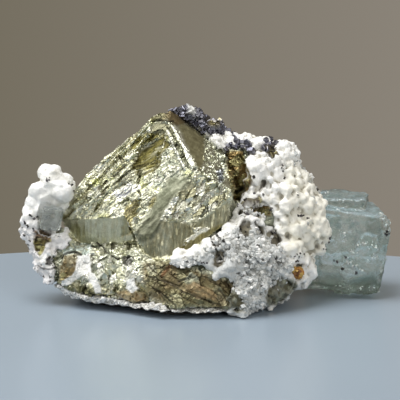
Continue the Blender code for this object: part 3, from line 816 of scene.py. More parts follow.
def template_of(shape):
    """The points and faces of a small bmesh shape, as arrays, and the shape is freed."""
    shape.verts.ensure_lookup_table()
    points = np.array([vert.co for vert in shape.verts])
    faces = np.array([[vert.index for vert in face.verts] for face in shape.faces])
    shape.free()
    return points, faces


def in_fixed_order(faces):
    """The same triangles in an order that is the same each run, which a bevel's own order isn't."""
    turned = np.array([np.roll(face, -face.argmin()) for face in faces])
    return turned[np.lexsort(turned.T[::-1])]


def ball_template():
    """A ball of radius 1."""
    ball = bmesh.new()
    bmesh.ops.create_icosphere(ball, subdivisions=2, radius=1.0)
    return template_of(ball)


def cube_template():
    """A cube from -1 to 1 with narrow flats along its edges."""
    cube = bmesh.new()
    bmesh.ops.create_cube(cube, size=2.0)
    bmesh.ops.bevel(cube, geom=cube.edges[:], offset=0.16, segments=1, affect="EDGES")
    bmesh.ops.triangulate(cube, faces=cube.faces[:])
    points, faces = template_of(cube)
    return points, in_fixed_order(faces)


def rhomb_template():
    """A cleavage rhomb: a cube with its corners pressed in along one diagonal."""
    rhomb = bmesh.new()
    bmesh.ops.create_cube(rhomb, size=1.0)
    bmesh.ops.triangulate(rhomb, faces=rhomb.faces[:])
    points, faces = template_of(rhomb)
    return squeezed(points, (1, 1, 1), 0.78), faces


def repeated(template, centres, turns, sizes):
    """Copies of a template at the centres, each turned by its own 3 x 3 matrix and scaled by its sizes."""
    points, faces = template
    placed = np.einsum("nij,nkj->nki", turns, points[None] * sizes[:, None, :]) + centres[:, None, :]
    shifted = faces[None] + (np.arange(len(centres)) * len(points))[:, None, None]
    return placed.reshape(-1, 3), shifted.reshape(-1, faces.shape[1])


def random_turns(count, chance):
    """Evenly spread random rotations, as 3 x 3 matrices."""
    four = chance.normal(size=(count, 4))
    w, x, y, z = (four / np.linalg.norm(four, axis=1, keepdims=True)).T
    rows = [
        [1 - 2 * (y * y + z * z), 2 * (x * y - z * w), 2 * (x * z + y * w)],
        [2 * (x * y + z * w), 1 - 2 * (x * x + z * z), 2 * (y * z - x * w)],
        [2 * (x * z - y * w), 2 * (y * z + x * w), 1 - 2 * (x * x + y * y)],
    ]
    return np.moveaxis(np.array(rows), -1, 0)


def scattered_rhombs(name, centres, sizes, chance, lowest=-math.inf):
    """A piece of small rhombs turned at random, and a random tone from 0 to 1 at each of its points."""
    template = rhomb_template()
    points, faces = repeated(template, centres, random_turns(len(centres), chance), sizes)
    points[:, 2] = np.maximum(points[:, 2], lowest)
    tones = np.repeat(chance.random(len(centres)), len(template[0]))
    return make_object(name, mesh_from(name, points, faces)), tones


def surface_spots(mesh, count, chance):
    """Places spread at random over a mesh by area, with the normals there."""
    mesh.calc_loop_triangles()
    corners = np.empty(len(mesh.loop_triangles) * 3, np.int32)
    mesh.loop_triangles.foreach_get("vertices", corners)
    triangles = mesh_points(mesh)[corners.reshape(-1, 3)]
    cross = np.cross(triangles[:, 1] - triangles[:, 0], triangles[:, 2] - triangles[:, 0])
    area = np.linalg.norm(cross, axis=1)
    picked = chance.choice(len(area), size=count, p=area / area.sum())
    first = np.sqrt(chance.random(count))[:, None]
    second = chance.random(count)[:, None]
    a, b, c = (triangles[picked, corner] for corner in range(3))
    spots = a * (1 - first) + b * first * (1 - second) + c * first * second
    return spots, cross[picked] / np.maximum(area[picked], 1e-12)[:, None]


def hidden_spots(mesh, tried, most, chance):
    """Some random places on the side that the viewer can't see, with the normals there."""
    spots, normals = surface_spots(mesh, tried, chance)
    away = normals @ TO_VIEWER < 0.0
    return spots[away][:most], normals[away][:most]


def spaced(spots, radii, closeness):
    """Keeps the spots that stand far enough from those kept before them."""
    kept = []
    cells = {}
    reach = float(radii.max()) * 2.0 * closeness
    for index, spot in enumerate(spots):
        home = tuple(int(math.floor(value / reach)) for value in spot)
        near = [
            other
            for step in np.ndindex(3, 3, 3)
            for other in cells.get((home[0] + step[0] - 1, home[1] + step[1] - 1, home[2] + step[2] - 1), ())
        ]
        gaps = spots[near] - spot
        if np.all(np.sum(gaps * gaps, axis=1) >= (closeness * (radii[index] + radii[near])) ** 2):
            kept.append(index)
            cells.setdefault(home, []).append(index)
    return np.array(kept, int)


def seen_spots(piece, places):
    """Where the sight lines through places on the picture meet the piece, with the normals there."""
    tree = BVHTree.FromObject(piece, bpy.context.evaluated_depsgraph_get())
    start = Vector(VIEW_PLACE * MM)
    found = [tree.ray_cast(start, sight_line(across, down)) for across, down in places]
    met = [hit for hit in found if hit[0] is not None]
    return np.array([hit[0] for hit in met]).reshape(-1, 3) / MM, np.array([hit[1] for hit in met])


def seen_lumps(piece, lumps):
    """Where lumps given in px meet the piece, with the normals there and the lumps' radii in millimetres."""
    found = [seen_spots(piece, (lump[:2],)) for lump in lumps]
    met = [(lump[2], spots[0], normals[0]) for lump, (spots, normals) in zip(lumps, found) if len(spots)]
    radii = [radius * (spot - VIEW_PLACE) @ -TO_VIEWER / VIEW_FOCUS for radius, spot, _ in met]
    return np.array([hit[1] for hit in met]), np.array([hit[2] for hit in met]), np.array(radii)


def ball_places(named, spots, normals, radii, closeness, proud):
    """Centres and radii of balls: all the named lumps, and the random ones that keep clear of them.

    A ball stands out of the solid by half its radius, but by no less and no more than proud gives.
    """
    spots, normals, radii = (np.concatenate(pair) for pair in zip(named, (spots, normals, radii)))
    count = len(named[2])
    kept = spaced(spots, radii, closeness)
    kept = np.concatenate([np.arange(count), kept[kept >= count]])
    sunk = radii[kept] - np.clip(0.5 * radii[kept], *proud)
    return spots[kept] - normals[kept] * sunk[:, None], radii[kept]


def lumpy_skin(node, name, centres, radii, core_inset, grid, smoothing):
    """One closed skin over a solid that is drawn in a little and grown over with uneven balls."""
    core = regrid(node_copy(node, name), grid * 1.6, 2)
    set_points(core.data, mesh_points(core.data) - mesh_normals(core.data) * core_inset)
    ball_chance = np.random.default_rng(len(centres))
    turns = random_turns(len(centres), ball_chance)
    stretch = radii[:, None] * (0.82 + 0.34 * ball_chance.random((len(centres), 3)))
    balls = mesh_from("balls", *repeated(ball_template(), centres, turns, stretch))
    joined = bmesh.new()
    joined.from_mesh(core.data)
    joined.from_mesh(balls)
    joined.to_mesh(core.data)
    joined.free()
    bpy.data.meshes.remove(balls)
    return regrid(core, grid, smoothing)


def finish_piece(piece, material, node_slot, *nodes, smooth=False):
    """Thins the piece, gives it its shading and material, hangs it on the root body and hides the solids that
    it replaces.
    """
    thin_out(piece)
    piece.data.polygons.foreach_set("use_smooth", [smooth] * len(piece.data.polygons))
    piece.data.materials.clear()
    piece.data.materials.append(material)
    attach(piece, "root")
    if nodes:
        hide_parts(*nodes)


class MaterialMaker:
    """Small helper that adds shader nodes to one material, or to the room, and links them."""

    def __init__(self, owner, shader="Principled BSDF"):
        owner.use_nodes = True
        self.owner = owner
        self.tree = owner.node_tree
        self.shader = self.tree.nodes[shader]

    def feed(self, socket, value):
        """Links another node's output to a socket, or sets the socket's own value."""
        if isinstance(value, bpy.types.NodeSocket):
            self.tree.links.new(value, socket)
        else:
            socket.default_value = value

    def node(self, kind, inputs=(), **settings):
        made = self.tree.nodes.new(kind)
        for key, value in settings.items():
            setattr(made, key, value)
        for socket, value in dict(inputs).items():
            self.feed(made.inputs[socket], value)
        return made

    def place(self):
        return self.node("ShaderNodeTexCoord").outputs["Object"]

    def attribute(self, name, output="Fac"):
        return self.node("ShaderNodeAttribute", attribute_name=name).outputs[output]

    def noise(self, scale, detail=3.0, roughness=0.6):
        inputs = {"Scale": scale, "Detail": detail, "Roughness": roughness, "Vector": self.place()}
        return self.node("ShaderNodeTexNoise", inputs).outputs["Fac"]

    def ramp(self, value, low, high, out_low=0.0, out_high=1.0):
        inputs = {"Value": value, "From Min": low, "From Max": high, "To Min": out_low, "To Max": out_high}
        return self.node("ShaderNodeMapRange", inputs).outputs["Result"]

    def maths(self, operation, first, second):
        return self.node("ShaderNodeMath", {0: first, 1: second}, operation=operation).outputs["Value"]

    def vector_maths(self, operation, inputs):
        return self.node("ShaderNodeVectorMath", inputs, operation=operation).outputs["Vector"]

    def mix(self, factor, first, second, blend="MIX"):
        """A mix of two colours, each a node's output or a plain colour."""
        made = self.node("ShaderNodeMix", data_type="RGBA", blend_type=blend)
        sockets = {socket.name: socket for socket in made.inputs if socket.enabled}
        self.feed(sockets["Factor"], factor)
        for name, value in (("A", first), ("B", second)):
            self.feed(sockets[name], value if isinstance(value, bpy.types.NodeSocket) else (*value[:3], 1.0))
        return next(socket for socket in made.outputs if socket.enabled)

    def mottled(self, colour, noise, low, high, tone):
        """The colour multiplied by a tone where the noise is low."""
        dimmed = self.mix(self.ramp(noise, low, high), tone, (1.0, 1.0, 1.0))
        return self.mix(1.0, colour, dimmed, "MULTIPLY")

    def chip_tilts(self, size, turn, drawn_out):
        """A random direction for each small chip, with the chips drawn out along one direction."""
        inputs = {"Vector": self.place(), "Rotation": turn, "Scale": (drawn_out, 1.0, 1.0)}
        vector = self.node("ShaderNodeMapping", inputs, vector_type="TEXTURE").outputs["Vector"]
        return self.node("ShaderNodeTexVoronoi", {"Vector": vector, "Scale": 1.0 / size}).outputs["Color"]

    def tilted_normal(self, tilts, amount):
        """The surface normal leaned by random directions from 0 to 1, by a share of its length."""
        centred = self.vector_maths("SUBTRACT", {0: tilts, 1: (0.5, 0.5, 0.5)})
        scaled = self.vector_maths("SCALE", {0: centred, "Scale": amount})
        plain = self.node("ShaderNodeNewGeometry").outputs["Normal"]
        return self.vector_maths("NORMALIZE", {0: self.vector_maths("ADD", {0: plain, 1: scaled})})

    def bump(self, height, distance, strength, **normal):
        inputs = {"Height": height, "Distance": distance, "Strength": strength, **normal}
        return self.node("ShaderNodeBump", inputs).outputs["Normal"]

    def set(self, **sockets):
        """Feeds the shader's own sockets, and returns the material."""
        for name, value in sockets.items():
            self.feed(self.shader.inputs[name.replace("_", " ")], value)
        return self.owner


def sulphide_material(name, grain):
    """Metallic skin: colour, metal share and roughness come from the mesh, fine grain from noise."""
    maker = MaterialMaker(bpy.data.materials.new(name))
    along_growth = maker.chip_tilts(0.0005, GROWTH_TURN, 2.6)
    upright = maker.chip_tilts(0.0004, UPRIGHT_TURN, 5.0)
    tilts = maker.mix(maker.attribute("upright"), along_growth, upright)
    leaned = maker.tilted_normal(tilts, maker.attribute("glitter"))
    fine = maker.noise(1.0 / grain, 2.0, 0.7)
    coarse = maker.noise(0.18 / grain)
    colour = maker.mottled(maker.attribute("skin", "Color"), coarse, 0.35, 0.65, (0.80, 0.80, 0.78))
    colour = maker.mottled(colour, fine, 0.4, 0.62, (0.82, 0.82, 0.80))
    rough = maker.maths("ADD", maker.attribute("dull"), maker.ramp(coarse, 0.3, 0.7, -0.06, 0.08))
    normal = maker.bump(fine, grain * 0.3, 0.3, Normal=leaned)
    return maker.set(Base_Color=colour, Metallic=maker.attribute("metal"), Roughness=rough, Normal=normal)


def dolomite_material(name, grain):
    """Chalky crystal skin with a fine sparkle."""
    maker = MaterialMaker(bpy.data.materials.new(name))
    fine = maker.noise(1.0 / grain, 3.0, 0.65)
    coarse = maker.noise(0.12 / grain)
    colour = maker.mottled(maker.attribute("skin", "Color"), coarse, 0.35, 0.65, (0.93, 0.92, 0.89))
    normal = maker.bump(fine, grain * 0.7, 0.8)
    rough = maker.ramp(fine, 0.3, 0.7, 0.50, 0.78)
    maker.set(Specular_IOR_Level=0.5, IOR=DOLOMITE_IOR)
    return maker.set(Base_Color=colour, Metallic=maker.attribute("metal"), Roughness=rough, Normal=normal)


def fluorite_material(name, colour, cloud_colour, grain, clear=0.82, milk=1.0):
    """Cloudy see-through crystal: plain transmission with milky veils from noise."""
    maker = MaterialMaker(bpy.data.materials.new(name))
    veil = maker.noise(0.10 / grain, 4.0, 0.62)
    wisps = maker.noise(0.35 / grain, 4.0, 0.7)
    crumbs = maker.noise(1.1 / grain, 2.0)
    frost = maker.attribute("frost")
    tint = maker.mix(maker.ramp(veil, 0.40, 0.58), colour, cloud_colour)
    tint = maker.mix(maker.ramp(wisps, 0.51, 0.62, 0.0, 0.85 * milk), tint, VEIL_WHITE)
    tint = maker.mix(maker.attribute("low"), tint, FLUORITE_DEEP)
    milky = maker.ramp(veil, 0.45, 0.58, 0.0, 0.9 * milk)
    speckled = maker.maths("MULTIPLY", maker.ramp(crumbs, 0.54, 0.62), milky)
    tint = maker.mix(speckled, tint, MILK_WHITE)
    # Painted highlight: the glint patches are painted near white, as are the frosted chipped edges.
    frosted = maker.mix(maker.ramp(crumbs, 0.4, 0.6), FROST_AND_GLINT_GREY, FROST_AND_GLINT_WHITE)
    tint = maker.mix(frost, tint, frosted)
    normal = maker.bump(maker.noise(0.6 / grain), grain * 0.6, 0.5)
    rough = maker.maths("ADD", maker.ramp(wisps, 0.3, 0.7, 0.08, 0.24), maker.maths("MULTIPLY", frost, 0.3))
    maker.set(IOR=FLUORITE_IOR, Transmission_Weight=clear)
    return maker.set(Base_Color=tint, Roughness=rough, Normal=normal)


def length(name, description, default):
    """A size setting, in metres."""
    return FloatProperty(name=name, description=description, default=default, min=0.0002, unit="LENGTH")


def tone(name, description, default):
    """A colour setting, as linear values."""
    return FloatVectorProperty(
        name=name, description=description, default=default, subtype="COLOR", min=0, max=1
    )


class SpecimenSizes(PropertyGroup):
    """Sizes of grain and detail."""

    pyrite_grid: length("Pyrite grid", "Fineness of the brassy skin", 0.00029)
    crust_grid: length("Crust grid", "Fineness of the white crust", 0.00038)
    knob_grid: length("Knob grid", "Fineness of the left knob", 0.00026)
    base_grid: length("Base grid", "Fineness of the pale rim underneath", 0.00042)
    fluorite_grid: length("Fluorite grid", "Fineness of the fluorite's skin", 0.00036)
    growth_relief: length("Growth lines", "Height of the lines on the left face", 0.00045)
    drusy_grain: length("Drusy grain", "Edge of the small dolomite rhombs", 0.00115)
    drusy_count: IntProperty(
        name="Drusy rhombs", description="How many small rhombs are tried", default=15000, min=1
    )
    galena_cube: length("Galena cubes", "Largest edge of the galena cubes", 0.0021)


class SpecimenColours(PropertyGroup):
    """Colours of the minerals."""

    brass: tone("Brass", "Fresh sulphide", (0.77, 0.775, 0.61))
    pale_brass: tone("Pale flake", "Freshest flakes", (0.90, 0.90, 0.82))
    olive: tone("Olive", "Olive tarnish", (0.27, 0.23, 0.075))
    grey_green: tone("Grey green", "Dull sulphide", (0.42, 0.44, 0.35))
    brown: tone("Brown", "Rust-brown stain", (0.20, 0.125, 0.05))
    dark: tone("Dark", "Cracks and dark grains", (0.045, 0.04, 0.035))
    white: tone("White", "Snow-white dolomite", (0.93, 0.93, 0.92))
    cream: tone("Cream", "Cream dolomite", (0.90, 0.88, 0.79))
    drusy: tone("Drusy", "Grey-white fine grain", (0.49, 0.51, 0.51))
    galena: tone("Galena", "Lead grey cubes", (0.20, 0.20, 0.25))
    fluorite: tone("Fluorite", "Pale blue-green", (0.57, 0.74, 0.71))
    orange: tone("Orange", "Resinous grain", (0.42, 0.19, 0.035))


def crystal_zones(skin):
    """How much of each face and patch of the crystal there is at each point, from 0 to 1."""
    front = skin.front
    seen = skin.seen
    crystal = np.maximum(skin.sharp(CRYSTAL_PX), (1.0 - front) * ease(skin.points[:, 2], *CRYSTAL_FOOT))

    def facing(direction, loose, tight):
        return ease(skin.normals @ unit(direction), loose, tight) * crystal

    zone = SimpleNamespace(crystal=crystal, mass=1.0 - crystal)
    zone.bevel = seen(SMOOTH_BEVEL_PX, 3.5) * crystal
    zone.fore = seen(FRONT_PX, 2.5) * crystal * (1.0 - zone.bevel)
    zone.broken = seen(BROKEN_PATCH_PX, 2.0) * crystal * (1.0 - zone.bevel)
    left = facing(LEFT_FACE, 0.86, 0.95) * front * (1.0 - zone.bevel)
    zone.left = left * (1.0 - zone.fore) * (1.0 - zone.broken)
    zone.band = facing(BAND_FACE, 0.90, 0.965) * front * (1.0 - zone.left) * (1.0 - zone.fore)
    zone.right = facing(RIGHT_FACE, 0.80, 0.93) * (1.0 - zone.fore) * (1.0 - zone.broken)
    rest = crystal - zone.left - zone.band - zone.bevel - zone.fore - zone.right - zone.broken
    zone.rest = np.clip(rest, 0.0, 1.0)
    zone.shell = seen(OLIVE_SHELL_PX)
    zone.flap = seen(UPPER_FLAP_PX)
    zone.flat = seen(UPPER_FLAT_PX)
    zone.flake = seen(PALE_FLAKE_PX)
    zone.streak = np.maximum(seen(OLIVE_STREAK_PX), seen(OLIVE_SPOT_PX))
    zone.strip = skin.sharp(RIDGE_STRIP_PX)
    zone.strip_shade = skin.sharp(RIDGE_SHADE_PX)
    zone.ridge_line = skin.sharp_line(RIDGE_LINE_PX, 1.8) * front
    zone.ridge = np.maximum(seen(BRIGHT_RIDGE_PX, 1.0), seen(BRIGHT_WEDGE_PX, 0.8))
    zone.grey_right = seen(GREY_RIGHT_PX, 2.5)
    zone.olive_right = seen(OLIVE_RIGHT_PX)
    zone.sandy = seen(SANDY_PX, 3.0)
    zone.olive = np.clip(zone.shell + zone.flap, 0.0, 1.0)
    zone.calm = np.clip(zone.shell + zone.flap + zone.flat + 0.7 * zone.flake + 0.8 * zone.strip, 0.0, 1.0)
    across_growth = np.cross(unit(LEFT_FACE), unit(GROWTH_LINE))
    from_edge = np.abs((skin.points - np.array(LEFT_EDGE_POINT)) @ across_growth)
    zone.edge = 1.0 - ease(from_edge, 5.0, 17.0)
    zone.cap = seen(CAP_PX, 2.0)
    grown = skin.any_line(GROWTH_LINES_PX, 1.7)
    zone.grown = grown * (front * (1.0 - zone.flake) * ease(skin.noise(2.0, 128), -0.8, -0.1))
    return zone


def mass_zones(skin, zone):
    """Adds the patches of the granular mass, and the cracks of both, to the crystal's zones."""
    seen = skin.seen
    zone.brown_low = seen(LOWER_BROWN_PX, 4.0)
    zone.low_olive = seen(LOWER_OLIVE_PX, 2.5) * zone.mass
    zone.lower = seen(LOWER_ZONE_PX, 3.0) * zone.mass
    zone.tan = np.maximum(seen(TAN_FACET_PX), seen(TAN_LEDGE_PX))
    zone.dome = seen(LEFT_DOME_PX) * zone.mass
    zone.icy = seen(ICY_BITS_PX, 2.0) * zone.mass
    zone.pocket = np.maximum(seen(CAVITY_PX, 2.0), seen(FISSURE_PX, 2.0)) * zone.mass
    zone.crumbs = np.max([ease(seen(corners, 3.0), 0.25, 0.55) for corners in WHITE_BITS_PX], axis=0)
    zone.seams = np.abs(soft_noise(squeezed(skin.points, SEAM_LINE, 0.15), 1.6, 112))
    crack = skin.sharp_line(DOME_CRACK_PX, 1.6) + skin.sharp_line(SIDE_CRACK_PX, 1.2)
    crack += skin.sharp_line(CAP_CRACK_PX, 1.1) + seen(PIT_PX, 1.0)
    for corners in ROCK_CRACKS_PX:
        crack += 0.6 * skin.line(corners, 1.2)
    zone.crack = np.clip(crack, 0.0, 1.0) * skin.front


def sulphide_patterns(skin):
    """The lines, flutes and chips that the sulphide's relief and colours are built up from."""
    points = skin.points
    growth = unit(GROWTH_LINE)
    upright = squeezed(points, UPRIGHT_LINE, 0.10)
    return SimpleNamespace(
        growth=growth,
        ridged=lined(squeezed(points, growth, 0.06), (1.9, 0.8), (21, 22), (1.4, 0.9)),
        fluted=lined(squeezed(points, SHELL_LINE, 0.10), (1.3, 0.6), (71, 72), (1.5, 0.9)),
        brushed=soft_noise(upright, 0.55, 81) + 0.6 * soft_noise(upright, 0.33, 82),
        fan=layered_noise(upright, 1.8, 83, 2),
        long=Plates(squeezed(points, growth, 0.32), 2.4, 41),
        short=Plates(squeezed(points, growth, 0.45), 1.2, 51),
        fine=Plates(points, 0.7, 61),
        slanted=Plates(squeezed(points, unit(BREAK_LINE), 0.3), 1.4, 91),
        lumps=Plates(squeezed(points, MASS_LINE, 0.6), 3.2, 101),
        chips=Plates(squeezed(points, CHIP_LINE, 0.6), 1.5, 111),
        patchy=skin.noise(5.0, 121),
        streaky=skin.drawn_noise(growth, 0.25, 2.0, 124),
    )


def crystal_relief(skin, zone, pattern, relief):
    """Heights on the crystal: long lines by its serrated edge, plates, flutes and fine upright lines."""
    noise = skin.noise
    fine = pattern.fine.slope
    lines = zone.left * (1.0 - zone.calm) * relief * pattern.ridged
    plates = zone.left * (1.0 - 0.8 * zone.calm)
    height = lines * (0.35 + 0.65 * zone.edge) * (1.0 - 0.85 * zone.sandy)
    height += plates * pattern.long.relief(0.36, 0.22) * (1.0 - 0.7 * zone.sandy)
    height += plates * pattern.short.relief(0.26, 0.08) * (1.0 - 0.3 * zone.sandy)
    height += zone.left * (1.0 - 0.85 * zone.calm) * (0.10 + 0.14 * zone.sandy) * fine
    height += zone.left * 0.30 * noise(6.0, 23, 2)
    height += zone.shell * (0.22 * pattern.fluted + 0.10 * noise(2.5, 75, 2) - 0.35)
    height += zone.flap * (0.04 * pattern.fluted - 0.2) + zone.flat * (0.05 * noise(1.0, 76) - 0.15)
    height += zone.streak * (0.10 * skin.drawn_noise(UP, 0.2, 0.7, 73) - 0.15)
    height += zone.flake * 0.18 * skin.drawn_noise(pattern.growth, 0.3, 0.9, 74)
    height += 0.22 * zone.ridge_line - 0.25 * zone.strip_shade + zone.strip * 0.07 * noise(0.7, 77)
    height += zone.band * (0.07 * pattern.brushed + 0.10 * pattern.fan + 0.06 * noise(1.6, 85, 2))
    height += zone.fore * (0.06 * pattern.brushed + 0.05 * pattern.fan + 0.05 * noise(1.4, 85, 2))
    height += zone.bevel * (0.04 * noise(0.8, 84) + 0.10 * noise(3.0, 86, 2))
    height += zone.broken * (pattern.slanted.relief(0.50, 0.40) + 0.12 * fine)
    rough = 0.30 * pattern.slanted.slope + 0.14 * fine
    height += zone.right * (0.05 * noise(1.4, 92) + zone.grey_right * rough)
    mixed = 0.30 * pattern.long.slope + 0.30 * pattern.short.slope + 0.10 * fine + 0.16 * pattern.ridged
    height += zone.rest * mixed
    height += skin.seen(BRIGHT_FLECKS_PX) * 0.3 * pattern.short.slope
    height += zone.ridge * (0.18 + 0.25 * fine)
    return height - 0.35 * zone.grown


def mass_relief(skin, zone, pattern):
    """Heights on the granular mass: chips on lumps, smoother broken rock low down, crumbs and cracks."""
    chips = pattern.lumps.relief(0.30, 0.36) + pattern.chips.relief(0.42, 0.24) + 0.18 * pattern.fine.slope
    height = zone.mass * (1.0 - 0.45 * zone.brown_low) * (1.0 - 0.75 * zone.crumbs) * chips
    height += zone.crumbs * (0.3 + 0.25 * skin.noise(1.6, 113))
    height -= zone.mass * zone.brown_low * 0.22 * ease(0.22 - zone.seams, 0.0, 0.22)
    return height - 0.45 * zone.crack


def crystal_colours(skin, zone, pattern, colours):
    """The colours that are laid over the crystal's brass, in order, each with its share."""
    noise = skin.noise
    olive, pale, grey_green = colours.olive, colours.pale_brass, colours.grey_green
    no_flake = 1.0 - zone.flake
    fresh = ease(pattern.long.level * 0.5 + pattern.short.level * 0.5 + 0.25 * pattern.streaky, 0.45, 0.85)
    groove = ease(0.25 - pattern.ridged, -0.2, 0.6) * zone.left * zone.edge
    dulled = 0.75 * zone.sandy + 0.48 * zone.left * (1.0 - zone.edge)
    bevel_tone = 0.9 - 0.25 * ease(skin.drawn_noise(pattern.growth, 0.3, 1.2, 87), 0.0, 0.8)
    # Painted highlight on the bright ridges and the raised ridge line.
    ridge_highlight = np.clip(zone.ridge * ease(pattern.fine.level, 0.1, 0.5) + zone.ridge_line, 0, 1)
    return (
        (pale, 0.8 * zone.left * fresh),
        (YELLOW_SHEEN, 0.6 * zone.left * ease(pattern.patchy - 0.3 * pattern.streaky, 0.25, 0.9)),
        (olive, 0.5 * (zone.left + zone.rest) * ease(-pattern.streaky, 0.2, 0.9) * no_flake),
        (olive, 0.8 * groove * no_flake),
        (grey_green, dulled * ease(noise(1.2, 125), -0.5, 0.7)),
        (SHELL_OLIVE, zone.olive * (0.97 - 0.45 * ease(pattern.fluted, 0.35, 0.9))),
        (FLAP_OLIVE, 0.95 * zone.flap),
        (GROWTH_DARK, 0.85 * zone.grown),
        (colours.dark, 0.5 * zone.shell * ease(-pattern.fluted, -0.2, 0.5)),
        (FLAT_OLIVE, 0.9 * zone.flat),
        (olive, 0.8 * zone.streak),
        (FLAKE_WHITE, 0.8 * zone.flake),
        (FLAKE_GREY, 0.8 * (skin.line(FLAKE_STREAK_PX, 1.8) * zone.flake)),
        (BAND_BRASS, 0.4 * zone.band),
        (BEVEL_GREEN, bevel_tone * zone.bevel),
        (olive, 0.25 * zone.band * ease(pattern.fan, -0.6, 0.8)),
        (FRONT_BRASS, zone.fore * (0.55 + 0.40 * ease(pattern.fan, -0.7, 0.5))),
        (olive, 0.5 * zone.broken * ease(pattern.slanted.level, 0.55, 0.8)),
        (pale, 0.8 * zone.broken * ease(pattern.slanted.level, 0.35, 0.15)),
        (olive, 0.68 * zone.olive_right),
        (grey_green, 0.35 * zone.grey_right),
        (BLUE_GREY, 0.8 * skin.seen(BLUE_SPOT_PX)),
        (olive, 0.7 * skin.seen(OLIVE_FOOT_PX)),
        # Painted highlight along the ridge strip and on the bright ridges, and painted shade on the dark
        # strip beside them.
        (pale, ridge_highlight),
        (pale, 0.7 * zone.strip),
        (RIDGE_SHADE, 0.9 * zone.strip_shade),
        (CAP_OLIVE, 0.93 * zone.cap),
        (CAP_BROWN, 0.6 * zone.cap * ease(skin.across + 4.0 * pattern.patchy, 160, 172)),
    )


def mass_colours(skin, zone, pattern, colours):
    """The colours that are laid over the granular mass, over cracks in both, and painted shade in the hollows
    of both, in order.
    """
    noise = skin.noise
    down = skin.down
    olive, pale = colours.olive, colours.pale_brass
    small = pattern.chips.level
    tan_tone = 0.6 + 0.35 * ease(noise(1.5, 127), -0.5, 0.5)
    dome_tone = 0.72 + 0.28 * ease(noise(1.8, 126), -0.4, 0.5)
    rust = skin.line(ORANGE_CRACK_PX, 2.2) * skin.front
    # Painted shade in the hollows, stronger on the mass and the broken parts.
    deep = 0.6 * zone.mass + 0.35 * zone.left + 0.8 * zone.broken + 0.7 * zone.rest
    hollow = zone.hollow * deep.clip(0, 0.8)
    return (
        (colours.grey_green, 0.85 * zone.mass * ease(pattern.lumps.level, 0.25, 0.8)),
        (pale, 0.85 * zone.lower * ease(small, 0.62, 0.8)),
        (olive, 0.45 * zone.mass * ease(down + 4.0 * pattern.patchy, 276, 290) * skin.front),
        (ROCK_OLIVE, 0.92 * zone.brown_low * ease(pattern.lumps.level, 1.0, 0.6)),
        (ROCK_BROWN, 0.6 * zone.brown_low * ease(pattern.patchy + 0.3 * pattern.streaky, -0.1, 0.7)),
        (TAN, zone.tan * tan_tone * zone.mass),
        (DOME_BROWN, zone.dome * dome_tone),
        (DOME_GOLD, 0.7 * zone.dome * ease(down, 268, 276) * ease(small, 0.5, 0.8)),
        (RUST_CRACK, 0.85 * rust),
        (olive, 0.85 * zone.pocket),
        (colours.brown, 0.8 * zone.pocket * ease(small, 0.4, 0.7)),
        (colours.brown, 0.5 * zone.hidden),
        (ICE, 0.9 * zone.icy * ease(small, 0.25, 0.4)),
        (FOOT_OLIVE, zone.low_olive * (0.96 - 0.3 * ease(pattern.fine.level, 0.75, 0.95))),
        (CRUMB_WHITE, zone.crumbs),
        *((pale, skin.seen(corners, 1.0)) for corners in PALE_CHIPS_PX),
        (HOLLOW_SHADE, hollow * (1.0 - zone.flap)),
        (SEAM_BROWN, 0.5 * zone.brown_low * ease(0.2 - zone.seams, 0.0, 0.2) * zone.mass),
        (colours.dark, 0.85 * zone.crack),
    )


def sulphide_finish(zone):
    """How metallic and dull the sulphide is at each point, and how much its grain glitters."""
    stain = 0.8 * zone.cap + 0.7 * zone.brown_low + 0.8 * zone.low_olive + zone.tan + zone.dome
    stain = np.clip(stain + zone.crack + zone.hidden, 0.0, 1.0)
    earthy = (0.3 + 0.3 * zone.tan + 0.3 * zone.dome) * stain * (zone.mass + zone.cap)
    metal = np.clip(1.0 - earthy, 0.0, 1.0)
    dull = 0.26 + 0.06 * zone.mass + 0.08 * (zone.band + zone.fore) + 0.12 * zone.bevel
    dull += 0.14 * zone.olive_right + 0.3 * zone.crumbs + 0.12 * stain
    dull += 0.08 * zone.olive - 0.04 * zone.flake + 0.12 * zone.flat + 0.1 * zone.strip
    glitter = (0.24 + 0.12 * zone.sandy) * zone.left + 0.28 * zone.fore + 0.22 * zone.band + 0.3 * zone.rest
    glitter += 0.12 * zone.right + 0.36 * zone.mass + 0.28 * zone.broken
    glitter += 0.35 * zone.grey_right * zone.right + 0.12 * zone.bevel
    smooth = 0.7 * (zone.shell + zone.flap + zone.flat + zone.olive_right) + 0.3 * (zone.flake + zone.strip)
    return {
        "metal": metal * (1.0 - zone.crumbs) * (1.0 - 0.6 * zone.icy),
        "dull": np.clip(dull, 0.15, 0.9),
        "glitter": glitter * (1.0 - np.clip(smooth, 0.0, 0.8)),
        "upright": np.clip(zone.band + zone.fore, 0.0, 1.0),
    }


def keep_part(mesh, keep):
    """Deletes the faces with most corners outside keep; of two parts, one gets the faces between them."""
    part = bmesh.new()
    part.from_mesh(mesh)
    flags = keep.tolist()
    drop_ties = flags[0]
    doomed = []
    for face in part.faces:
        kept = 2 * sum(flags[vert.index] for vert in face.verts)
        if kept < len(face.verts) or (drop_ties and kept == len(face.verts)):
            doomed.append(face)
    bmesh.ops.delete(part, geom=doomed, context="FACES")
    part.to_mesh(mesh)
    part.free()


